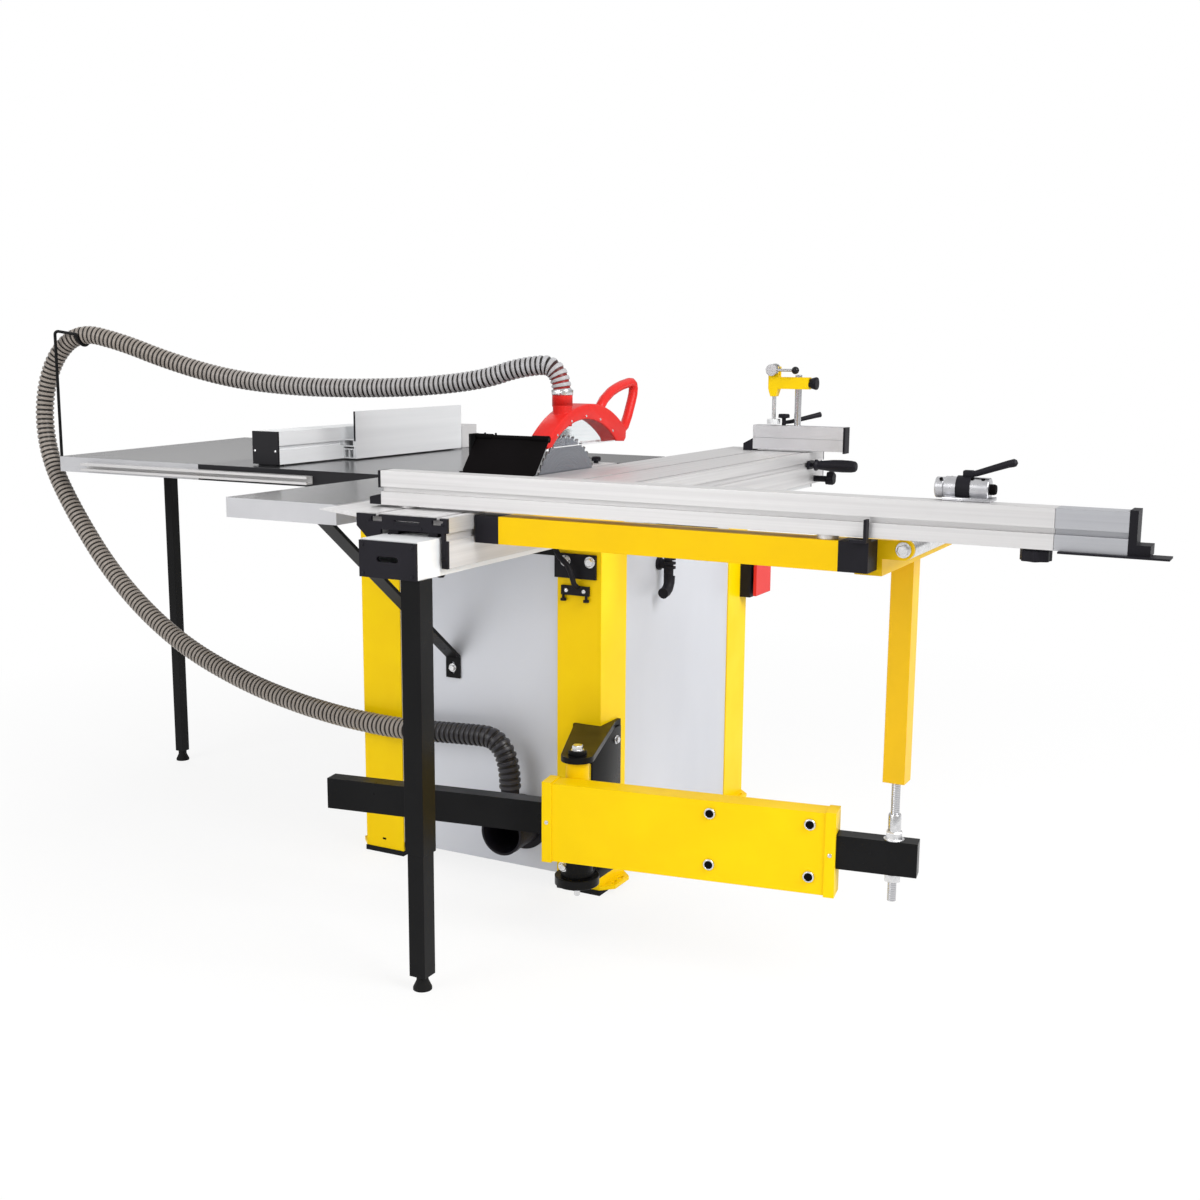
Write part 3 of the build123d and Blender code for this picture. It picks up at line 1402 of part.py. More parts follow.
def arm_brackets():
    """Two plates on the corner post and the pin between them."""
    x, y = -half_x, half_y
    lean = math.atan2(pivot_y - y, pivot_x - x) - math.pi / 2
    across_x, across_y = bracket_radius * math.cos(lean), bracket_radius * math.sin(lean)
    plan = outline((x + bracket_reach_x, y), (x, y), (x, y - bracket_reach_y),
                   (pivot_x - across_x, pivot_y - across_y), (pivot_x + across_x, pivot_y + across_y))
    plan += Pos(pivot_x, pivot_y) * Circle(bracket_radius)
    plan -= Pos(pivot_x, pivot_y) * Circle(pin_radius)
    flange = outline((x - bracket_flange, y - bracket_reach_y), (x, y - bracket_reach_y), (x, y),
                     (x + bracket_reach_x, y), (x + bracket_reach_x, y + bracket_flange),
                     (x - bracket_flange, y + bracket_flange))
    brackets = []
    for low, flange_low in ((bracket_top_z - bracket_plate, bracket_top_z - bracket_flange_height),
                            (bracket_low_z, bracket_low_z)):
        brackets.append(along_z(plan, low, low + bracket_plate)
                        + along_z(flange, flange_low, flange_low + bracket_flange_height))
    pin = bar_z(bracket_low_z - pin_end, bracket_top_z, pivot_x, pivot_y, pin_radius)
    head = Pos(pivot_x, pivot_y) * RegularPolygon(pin_head_radius, 6)
    add("arm_brackets", *brackets, pin + along_z(head, bracket_top_z, bracket_top_z + pin_head))


def edging_shoe():
    """The short fence at the operator's end with its end blocks, column and clamp lever."""
    low, top, rear, mid_y = shoe_low_z, shoe_top_z, shoe_rear_y, shoe_mid_y
    front = rear - shoe_depth
    middle = (low + top) / 2
    socket = low + stand_socket
    toggle_x = stand_x + toggle_offset
    key_x = slot_places[0]
    key = slot_mouth / 2 - seat_gap
    fence = hollow(shoe_left_x, shoe_right_x, front, rear, low, top, shoe_wall, "X")
    fence -= block(shoe_left_x - over, shoe_right_x + over, rear - shoe_groove_depth, rear + over,
                   middle - shoe_groove / 2, middle + shoe_groove / 2)
    fence += bar_z(low + shoe_wall / 2, top, stand_x, mid_y, stand_boss)
    fence -= bar_z(socket, top + over, stand_x, mid_y, stand_radius)
    fence -= bar_z(top - shoe_wall - over, top + over, toggle_x, mid_y, toggle_stem + running_gap)
    fence += block(key_x - key, key_x + key, front, rear, table_z - shoe_key, low + over)
    add("shoe_fence", fence, bar_z(socket, stand_top_z, stand_x, mid_y, stand_radius))
    end = block(shoe_left_x - shoe_end, shoe_left_x, front, rear, low, top)
    tip = shoe_right_x + shoe_nose
    nose = outline((shoe_right_x, low), (tip, low), (tip, low + shoe_nose_tip),
                   (shoe_right_x, low + shoe_nose_height))
    add("shoe_end_blocks", end, along_y(nose, front, rear))
    grip_top = top + toggle_height
    lever = bar_z(top - shoe_wall, grip_top, toggle_x, mid_y, toggle_stem)
    lever += block(toggle_x - toggle_width / 2, toggle_x + toggle_width / 2, mid_y - toggle_length,
                   mid_y + toggle_stem, grip_top - toggle_thickness, grip_top)
    add("shoe_lever", lever)


def hold_down():
    """The eccentric hold-down on the shoe's column: body with fork, cam lever, plunger and clamp knob."""
    mid_y = shoe_mid_y
    half = clamp_body_depth / 2
    front, rear = mid_y - half, mid_y + half
    high = clamp_low_z + clamp_body_height
    fork_top = cam_z + cam_fork_top
    tip_z = clamp_low_z - clamp_point
    fork = clamp_fork / 2
    point = clamp_point_width / 2
    tail_x = stand_x - clamp_tail
    slot = cam_width / 2 + seat_gap
    body = block(tail_x, plunger_x + fork, front, rear, clamp_low_z, high)
    body += along_y(outline((plunger_x - fork, clamp_low_z), (plunger_x - point, tip_z),
                            (plunger_x + point, tip_z),
                            (plunger_x + fork, clamp_low_z), (plunger_x + fork, fork_top),
                            (plunger_x - fork, fork_top)), front, rear)
    body -= block(plunger_x - fork - cam_throw, plunger_x + fork + over, mid_y - slot, mid_y + slot,
                  cam_z - cam_radius - seat_gap, fork_top + over)
    body -= bar_z(tip_z - over, cam_z, plunger_x, mid_y, plunger_radius + running_gap)
    body -= bar_y(front - over, rear + over, plunger_x, cam_z, cam_pin + running_gap)
    body -= bar_z(clamp_low_z - over, high + over, stand_x, mid_y, stand_radius + running_gap)
    knob_z = (clamp_low_z + high) / 2
    stud_end = tail_x + clamp_knob_depth
    body -= bar_x(tail_x - over, stud_end + seat_gap, mid_y, knob_z, clamp_knob_stud + running_gap)
    add("clamp_body", body)
    wheel = rear + seat_gap
    lever_y = wheel + cam_wheel - cam_lever_rod - cam_lever_inset
    lever_end = plunger_x - cam_lever_length
    cam = bar_y(mid_y - cam_width / 2, mid_y + cam_width / 2, plunger_x, cam_z + cam_throw, cam_radius)
    cam += bar_y(front, wheel + over, plunger_x, cam_z, cam_pin)
    cam += bar_y(wheel, wheel + cam_wheel, plunger_x, cam_z, cam_wheel_radius)
    cam += bar_x(lever_end, plunger_x, lever_y, cam_z, cam_lever_rod)
    cam += Pos(lever_end, lever_y, cam_z) * Rot(0, 0, 90) * Sphere(ball_radius)
    add("cam_lever", cam)
    pad = shoe_top_z + plunger_gap
    rod = bar_z(pad, cam_z + cam_throw - cam_radius - seat_gap, plunger_x, mid_y, plunger_radius)
    add("plunger", rod + bar_z(pad, pad + plunger_pad, plunger_x, mid_y, plunger_pad_radius))
    turn = Pos(tail_x - seat_gap, mid_y, knob_z) * Rot(0, -90, 0)
    stud = bar_x(tail_x - over, stud_end, mid_y, knob_z, clamp_knob_stud)
    add("clamp_knob", turn * knob(clamp_knob_radius, clamp_knob_height) + stud)


def carriage_grips():
    """The turned push handle in the side groove, and the carriage's lock knob."""
    y = carriage_front_y + handle_inset
    seat_x = carriage_left_x - seat_gap
    waist, neck = handle_radius * 0.7, handle_radius * 0.6
    half_shape = outline((0, 0), (handle_radius, 0), (handle_radius, handle_rod), (waist, 2 * handle_rod),
                         (handle_radius, handle_length * 0.6),
                         (handle_radius, handle_length - 2 * handle_rod),
                         (neck, handle_length), (0, handle_length))
    grip_x = seat_x - handle_stand
    handle = Pos(grip_x, y, groove_z) * Rot(0, -90, 0) * revolve(Plane.XZ * half_shape, Axis.Z)
    handle += bar_x(grip_x - over, carriage_left_x + groove_depth - slide_gap, y, groove_z, handle_rod)
    handle += block(seat_x - handle_plate, seat_x, y - handle_plate_width / 2, y + handle_plate_width / 2,
                    groove_z - handle_plate_height / 2, groove_z + handle_plate_height / 2)
    add("push_handle", handle)
    y, z = carriage_front_y + lock_inset, table_z - lock_drop
    knob_x = seat_x - lock_reach
    lock = bar_x(knob_x, seat_x, y, z, lock_shaft)
    lock += Pos(knob_x, y, z) * Rot(0, -90, 0) * knob(lock_knob_radius, lock_knob_height)
    add("carriage_lock", lock)


def switch():
    """The switch box on the corner post, with its stop flap and the start button behind it."""
    face = -half_x
    front = face - switch_depth
    y0 = -half_y - switch_overhang
    y1 = y0 + switch_width
    mid_y = (y0 + y1) / 2
    top = switch_low_z + switch_height
    button_z = switch_low_z + button_rise
    hinge_x, hinge_z = front - switch_hinge_out, top - switch_hinge_drop
    ears = [y0 + switch_ear_inset, y1 - switch_ear_inset - switch_ear]
    box = block(front, face, y0, y1, switch_low_z, top)
    box -= bar_x(front - over, front + button_well, mid_y, button_z, button_radius + running_gap)
    box += bar_y(ears[0], ears[1] + switch_ear, hinge_x, hinge_z, switch_hinge)
    for y in ears:
        box += block(hinge_x, front, y, y + switch_ear, hinge_z - switch_hinge, hinge_z + switch_hinge)
    add("switch_box", box)
    back = front - stop_flap_stand
    lid = block(back - stop_flap_plate, back, y0 + stop_flap_margin, y1 - stop_flap_margin,
                switch_low_z + stop_flap_margin, top)
    lid += bar_y(ears[0] + switch_ear + over, ears[1] - over, hinge_x, hinge_z, stop_flap_barrel)
    for y in ears:
        lid -= block(hinge_x - stop_flap_notch, front, y - over, y + switch_ear + over,
                     hinge_z - stop_flap_notch,
                     top + over)
    lid -= bar_y(y0, y1, hinge_x, hinge_z, switch_hinge + running_gap)
    add("stop_flap", lid)
    add("start_button", bar_x(front - button_out, front + button_in, mid_y, button_z, button_radius))


def handwheels():
    """The two handwheels on the operator's side; returns their bushes."""
    outer_y = -panel_y - bush_flange_thickness
    bush_end = -panel_y + bush_length
    hub_y = outer_y - wheel_gap
    ring_radius = wheel_radius - wheel_rim
    grip_angle = math.radians(180 / wheel_spokes)
    bushes = []
    for name, x in (("rise_wheel", rise_wheel_x), ("tilt_wheel", tilt_wheel_x)):
        bush = bar_y(outer_y, bush_end, x, wheel_z, wheel_shaft + bush_wall)
        bush += bar_y(outer_y, -panel_y, x, wheel_z, bush_flange)
        bushes.append(bush - bar_y(outer_y - over, bush_end + over, x, wheel_z, wheel_shaft + running_gap))
        wheel = bar_y(hub_y - wheel_hub_length, outer_y - seat_gap, x, wheel_z, wheel_hub)
        wheel += bar_y(hub_y, -panel_y + wheel_tail, x, wheel_z, wheel_shaft)
        for index in range(wheel_spokes):
            turn = Pos(x, hub_y, wheel_z) * Rot(0, 360 / wheel_spokes * index - 90, 0)
            wheel += turn * block(0, ring_radius, -wheel_spoke_thickness / 2, wheel_spoke_thickness / 2,
                                  -wheel_spoke / 2, wheel_spoke / 2)
        wheel += Pos(x, hub_y, wheel_z) * Rot(90, 0, 0) * Torus(ring_radius, wheel_rim)
        wheel += bar_y(hub_y - wheel_grip_length, hub_y, x + ring_radius * math.cos(grip_angle),
                       wheel_z + ring_radius * math.sin(grip_angle), wheel_grip)
        add(name, wheel)
    return bushes


def fittings(bushes):
    """The small fixed fittings: cable elbow, beam adjusters, beam end covers and the wheels' bushes."""
    out = -panel_x - elbow_reach
    elbow = bar_x(out, -panel_x, elbow_y, elbow_z, elbow_radius)
    elbow += Pos(out, elbow_y, elbow_z) * Sphere(elbow_radius)
    elbow += bar_z(elbow_z - elbow_drop, elbow_z, out, elbow_y, elbow_radius)
    elbow += bar_x(-panel_x - elbow_flange_thickness, -panel_x, elbow_y, elbow_z, elbow_flange)
    x = -half_x + adjuster_inset
    plates = []
    for width, low, height in ((adjuster_width, adjuster_low_z, adjuster_height),
                               (strip_width, strip_low_z, strip_height)):
        plates.append(block(x - width / 2, x + width / 2, half_y, half_y + adjuster_plate, low,
                            low + height))
    slot = SlotOverall(beam_cover_slot, beam_cover_slot_height)
    slot = Pos((beam_left_x + beam_right_x) / 2, (beam_low_z + beam_top_z) / 2) * slot
    covers = []
    for y in (beam_rear_y, beam_front_y - beam_cover):
        cover = block(beam_left_x, beam_right_x, y, y + beam_cover, beam_low_z, beam_top_z - beam_cover_drop)
        covers.append(cover - along_y(slot, y - over, y + beam_cover + over))
    add("fixed_fittings", elbow, *plates, *covers, *bushes)


def dust_port():
    """The dust outlet on the cabinet, with the branch that takes the guard's hose."""
    inner = panel_y - panel_sheet
    end = half_y + port_length
    body = port_radius - port_collar_step
    port = bar_y(inner, end, port_x, port_z, body)
    port += bar_y(end - port_collar, end, port_x, port_z, port_radius)
    port += bar_y(panel_y, panel_y + port_flange_thickness, port_x, port_z, port_flange)
    port += bar_z(port_z, branch_top_z, port_x, branch_y, stub_radius)
    port -= bar_y(inner - over, end + over, port_x, port_z, body - port_wall)
    port -= bar_z(port_z, branch_top_z + over, port_x, branch_y, stub_radius - stub_wall)
    add("dust_port", port)


def hose():
    """The ribbed hose from the guard's stub over the hook and down to the dust outlet."""
    points = [(blade_x, stub_y, stub_top_z - hose_lap_top), (blade_x, stub_y, 1134), (133, -9, 1125),
              (225, 5, 1094),
              (380, 28, 1074), (570, 60, 1066), (760, 90, 1068), (950, 114, 1086), (1130, 140, 1130),
              (1270, 164, 1178), (1400, 188, 1206), (1486, 204, 1130), (1520, 216, 1000), (1488, 232, 860),
              (1370, 262, 722), (1190, 300, 560), (950, 342, 428), (690, 380, 356), (430, 414, 322),
              (190, 444, 318), (20, 456, 334), (port_x, branch_y, 340),
              (port_x, branch_y, branch_top_z - hose_lap_low)]
    radii = []
    for before, corner, after in zip(points, points[1:], points[2:]):
        first, second = Vector(*before) - Vector(*corner), Vector(*after) - Vector(*corner)
        turn = math.radians(180 - first.get_angle(second))
        radii.append(0.45 * min(first.length, second.length) / math.tan(turn / 2))
    route = FilletPolyline(*points, radius=radii)
    steady = (0, 1, 0)

    def ring(distance, radius):
        """A circle square to the hose, at a distance along it."""
        share = distance / route.length
        return Plane(origin=route @ share, x_dir=steady, z_dir=route % share) * Circle(radius)

    plain = 2 * hose_crest
    pitch = (route.length - 2 * plain) / hose_ribs
    rib = ((0.0, hose_root), (0.22, hose_crest), (0.5, hose_crest), (0.72, hose_root))
    rings = [ring(0, hose_root)]
    for index in range(hose_ribs):
        rings += [ring(plain + (index + share) * pitch, radius) for share, radius in rib]
    rings.append(ring(route.length, hose_root))
    bore = sweep(ring(0, hose_bore), path=route)
    tube = loft(rings, ruled=True) - bore
    add("dust_hose", tube)
    slope = (hose_root ** 2 + hose_root * hose_crest + hose_crest ** 2) / 3
    section = math.pi * (0.28 * hose_crest ** 2 + 0.44 * slope + 0.28 * hose_root ** 2 - hose_bore ** 2)
    plain_section = math.pi * (hose_root ** 2 - hose_bore ** 2)
    expected = section * pitch * hose_ribs + plain_section * 2 * plain
    print("hose length", round(route.length), "rib pitch", round(pitch, 1), "radii",
          [round(radius) for radius in radii])
    print("hose volume", round(tube.volume), "section times length", round(expected))
    return route


cabinet()
top_frame()
tables()
rails()
legs()
sliding_table()
drive(lifting_block(tilt_frame()))
guard()
rip_fence()
outrigger(swing_arm())
crosscut_fence()
flip_stop()
arm_brackets()
edging_shoe()
hold_down()
carriage_grips()
switch()
fittings(handwheels())
dust_port()
hook_and_flap(hose())

os.makedirs("parts", exist_ok=True)
for name, solids in nodes.items():
    export_step(Compound(solids) if len(solids) > 1 else solids[0], f"parts/{name}.step")
print(len(nodes), "nodes")
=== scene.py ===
import json
import math

import bmesh
import bpy
from mathutils import Matrix, Vector


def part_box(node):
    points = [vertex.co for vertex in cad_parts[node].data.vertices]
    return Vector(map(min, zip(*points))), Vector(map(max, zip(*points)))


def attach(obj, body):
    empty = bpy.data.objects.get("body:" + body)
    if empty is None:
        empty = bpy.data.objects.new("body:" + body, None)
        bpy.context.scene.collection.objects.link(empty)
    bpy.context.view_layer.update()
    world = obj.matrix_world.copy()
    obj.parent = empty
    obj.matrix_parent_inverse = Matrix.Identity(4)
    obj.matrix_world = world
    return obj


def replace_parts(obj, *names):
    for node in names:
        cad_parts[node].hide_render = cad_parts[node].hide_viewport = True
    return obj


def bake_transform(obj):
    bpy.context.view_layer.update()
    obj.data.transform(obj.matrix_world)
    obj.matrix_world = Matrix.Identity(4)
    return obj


# Sliding table saw: finishes, fasteners, the dust hose and the studio. Metres, in the frame of the solids.
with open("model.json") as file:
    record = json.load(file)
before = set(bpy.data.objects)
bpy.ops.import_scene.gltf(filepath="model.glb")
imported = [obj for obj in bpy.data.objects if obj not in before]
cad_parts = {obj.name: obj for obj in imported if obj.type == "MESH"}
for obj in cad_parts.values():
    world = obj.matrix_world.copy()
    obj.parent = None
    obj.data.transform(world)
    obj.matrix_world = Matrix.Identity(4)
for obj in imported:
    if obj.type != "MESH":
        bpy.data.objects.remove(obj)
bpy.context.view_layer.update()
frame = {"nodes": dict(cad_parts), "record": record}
nodes = frame["nodes"]

# The photograph's camera
camera_place = Vector((-1.7069, 3.0704, 1.180))
camera_turn = 207.70
camera_drop = 9.939
camera_roll = 0.395
camera_lens = 43.76
sensor = 36.0

# Places on the saw that the added pieces share, measured from the cabinet's centre on the floor
middle = Vector((0.031, -0.047, 0.0))  # the frame's origin, from there
table_z = 0.875
table_skin = 0.8747  # just under the table's top, where its ground face begins
arm_pivot = Vector((-0.371, 0.617, 0.0))
arm_turn = math.radians(9.0)
arm_face = 0.071
arm_collar_face = 0.0735
hose_radius = 0.0242
hose_root = 0.0208
hose_ribs = 284
hose_black = 0.904
hose_points = ((0.025, -0.026, 1.047), (0.025, -0.026, 1.134), (0.133, -0.009, 1.125), (0.225, 0.005, 1.094),
               (0.380, 0.028, 1.074), (0.570, 0.060, 1.066), (0.760, 0.090, 1.068), (0.950, 0.114, 1.086),
               (1.130, 0.140, 1.130), (1.270, 0.164, 1.178), (1.400, 0.188, 1.206), (1.486, 0.204, 1.130),
               (1.520, 0.216, 1.000), (1.488, 0.232, 0.860), (1.370, 0.262, 0.722), (1.190, 0.300, 0.560),
               (0.950, 0.342, 0.428), (0.690, 0.380, 0.356), (0.430, 0.414, 0.322), (0.190, 0.444, 0.318),
               (0.020, 0.456, 0.334), (-0.118, 0.458, 0.340), (-0.118, 0.458, 0.230))
leg_places = ((-0.238, 0.97), (1.227, 0.048))
stub_centre = Vector((0.025, -0.026, 0.0))
X, Y, Z = Vector((1, 0, 0)), Vector((0, 1, 0)), Vector((0, 0, 1))


# Finishes
def add_node(tree, kind, inputs, **settings):
    """Adds a shader node: plain values are set on its sockets, sockets are linked to them."""
    made = tree.nodes.new("ShaderNode" + kind)
    for name, value in settings.items():
        setattr(made, name, value)
    for socket, value in inputs.items():
        if isinstance(value, bpy.types.NodeSocket):
            tree.links.new(value, made.inputs[socket])
        else:
            made.inputs[socket].default_value = value
    return made


def ramp(tree, factor, low, high, start=0.3, end=0.7):
    """A colour that runs from low to high as a factor runs from start to end."""
    made = add_node(tree, "ValToRGB", {"Fac": factor})
    first, last = made.color_ramp.elements
    first.position, last.position = start, end
    first.color, last.color = (*low, 1), (*high, 1)
    return made.outputs["Color"]


def grain(tree, place, stretch, detail=5.0):
    """A noise whose waves per metre differ along X, Y and Z."""
    mapped = add_node(tree, "Mapping", {"Vector": place, "Scale": stretch}).outputs["Vector"]
    return add_node(tree, "TexNoise", {"Vector": mapped, "Scale": 1.0, "Detail": detail}).outputs["Fac"]


def spread(tree, value, low, high, start=0.3, end=0.7):
    """A number that runs from low to high as a value runs from start to end."""
    return add_node(tree, "MapRange", {"Value": value, "From Min": start, "From Max": end, "To Min": low,
                                       "To Max": high}).outputs["Result"]


def blank(name):
    """A new material: its node tree, its shader and the Object coordinates."""
    made = bpy.data.materials.new(name)
    made.use_nodes = True
    tree = made.node_tree
    place = tree.nodes.new("ShaderNodeTexCoord").outputs["Object"]
    return made, tree, tree.nodes["Principled BSDF"], place


def relief(tree, shader, height, strength, edge=0.0012, depth=0.0004):
    """Fine relief over softened edges."""
    soft = add_node(tree, "Bevel", {"Radius": edge}, samples=4).outputs["Normal"]
    bump = add_node(tree, "Bump", {"Height": height, "Strength": strength, "Distance": depth, "Normal": soft})
    tree.links.new(bump.outputs["Normal"], shader.inputs["Normal"])


def surface(name, colour, worn, gloss, metal=0.0, stretch=(9, 9, 9), fine=(700, 700, 700), peel=0.12,
            shine=0.25, edge=0.0012):
    """A finish in two close tones with uneven gloss, fine relief and softened edges."""
    made, tree, shader, place = blank(name)
    tone = grain(tree, place, stretch)
    tree.links.new(ramp(tree, tone, worn, colour), shader.inputs["Base Color"])
    tree.links.new(spread(tree, tone, gloss + 0.07, gloss - 0.05), shader.inputs["Roughness"])
    shader.inputs["Metallic"].default_value = metal
    shader.inputs["Specular IOR Level"].default_value = shine
    relief(tree, shader, grain(tree, place, fine, 3.0), peel, edge)
    return made


def split(name, axis, edge, first, second, fine=(700, 700, 700), wave=0.0):
    """Two finishes on one piece, parted at a plane: each is (colour, gloss, metal), the second past the edge.

    A wave above 0 cuts turns of thread of that pitch into the first one.
    """
    made, tree, shader, place = blank(name)
    parts = add_node(tree, "SeparateXYZ", {"Vector": place}).outputs[axis]
    past = add_node(tree, "Math", {0: parts, 1: edge}, operation="GREATER_THAN").outputs["Value"]
    tone = grain(tree, place, (9, 9, 9))
    shades = [ramp(tree, tone, [c * 0.9 for c in side[0]], side[0]) for side in (first, second)]
    mixed = add_node(tree, "Mix", {0: past, 6: shades[0], 7: shades[1]}, data_type="RGBA")
    tree.links.new(mixed.outputs[2], shader.inputs["Base Color"])
    for socket, low, high in (("Roughness", first[1], second[1]), ("Metallic", first[2], second[2])):
        tree.links.new(spread(tree, past, low, high, 0.0, 1.0), shader.inputs[socket])
    shader.inputs["Specular IOR Level"].default_value = 0.25
    height = grain(tree, place, fine, 3.0)
    if wave:
        turns = add_node(tree, "Math", {0: parts, 1: math.tau / wave}, operation="MULTIPLY").outputs["Value"]
        thread = add_node(tree, "Math", {0: turns}, operation="SINE").outputs["Value"]
        height = add_node(tree, "Mix", {0: past, 2: thread, 3: height}).outputs[0]
    relief(tree, shader, height, 0.5 if wave else 0.12)
    return made


def hose_finish():
    """Ribbed hose: pale crests over roots painted dark as shade in the creases, black near the outlet,
    clearer over the stub.
    """
    made, tree, shader, place = blank("ribbed_hose")
    along = add_node(tree, "Attribute", {}, attribute_name="along").outputs["Fac"]
    rib = add_node(tree, "Attribute", {}, attribute_name="rib").outputs["Fac"]
    spot = grain(tree, place, (60, 60, 60))
    pale = ramp(tree, along, (0.46, 0.46, 0.48), (0.30, 0.265, 0.235), 0.05, 0.32)
    speck = add_node(tree, "Mix", {0: spread(tree, spot, 0.0, 0.35), 6: pale, 7: (0.20, 0.175, 0.15, 1)},
                     data_type="RGBA").outputs[2]
    crest = add_node(tree, "Mix", {0: spread(tree, along, 0.0, 1.0, hose_black, hose_black + 0.003), 6: speck,
                                   7: (0.030, 0.029, 0.034, 1)}, data_type="RGBA").outputs[2]
    # The roots: red near the start, where the stub shows through, then near black, which is painted shade in
    # the creases.
    root = ramp(tree, along, (0.26, 0.012, 0.010), (0.012, 0.010, 0.009), 0.012, 0.022)
    whole = add_node(tree, "Mix", {0: spread(tree, rib, 0.0, 1.0, 0.25, 0.75), 6: root, 7: crest},
                     data_type="RGBA").outputs[2]
    tree.links.new(whole, shader.inputs["Base Color"])
    tree.links.new(spread(tree, spot, 0.26, 0.40), shader.inputs["Roughness"])
    shader.inputs["Specular IOR Level"].default_value = 0.3
    return made


def pane_finish():
    """Clear plastic with faint haze and fine scratches along the feed."""
    made, tree, shader, place = blank("clear_pane")
    scratch = grain(tree, place, (900, 12, 700), 2.0)
    tree.links.new(ramp(tree, scratch, (0.90, 0.93, 0.94), (0.97, 0.98, 0.985)), shader.inputs["Base Color"])
    tree.links.new(spread(tree, scratch, 0.12, 0.02), shader.inputs["Roughness"])
    shader.inputs["Transmission Weight"].default_value = 1.0
    shader.inputs["IOR"].default_value = 1.12
    return made


def blade_finish(centre):
    """Ground steel with rings about the arbor, and paler tips on the teeth."""
    made, tree, shader, place = blank("blade_steel")
    offset = add_node(tree, "VectorMath", {0: place, 1: centre}, operation="SUBTRACT").outputs["Vector"]
    reach = add_node(tree, "VectorMath", {0: offset}, operation="LENGTH").outputs["Value"]
    ring = add_node(tree, "TexNoise", {"W": reach, "Scale": 900.0, "Detail": 3.0},
                    noise_dimensions="1D").outputs["Fac"]
    body = ramp(tree, ring, (0.24, 0.25, 0.28), (0.40, 0.42, 0.46))
    tips = spread(tree, reach, 0.0, 1.0, 0.1525, 0.1535)
    mixed = add_node(tree, "Mix", {0: tips, 6: body, 7: (0.16, 0.155, 0.15, 1)}, data_type="RGBA")
    tree.links.new(mixed.outputs[2], shader.inputs["Base Color"])
    tree.links.new(spread(tree, ring, 0.40, 0.26), shader.inputs["Roughness"])
    shader.inputs["Metallic"].default_value = 0.9
    relief(tree, shader, ring, 0.10, 0.0004)
    return made


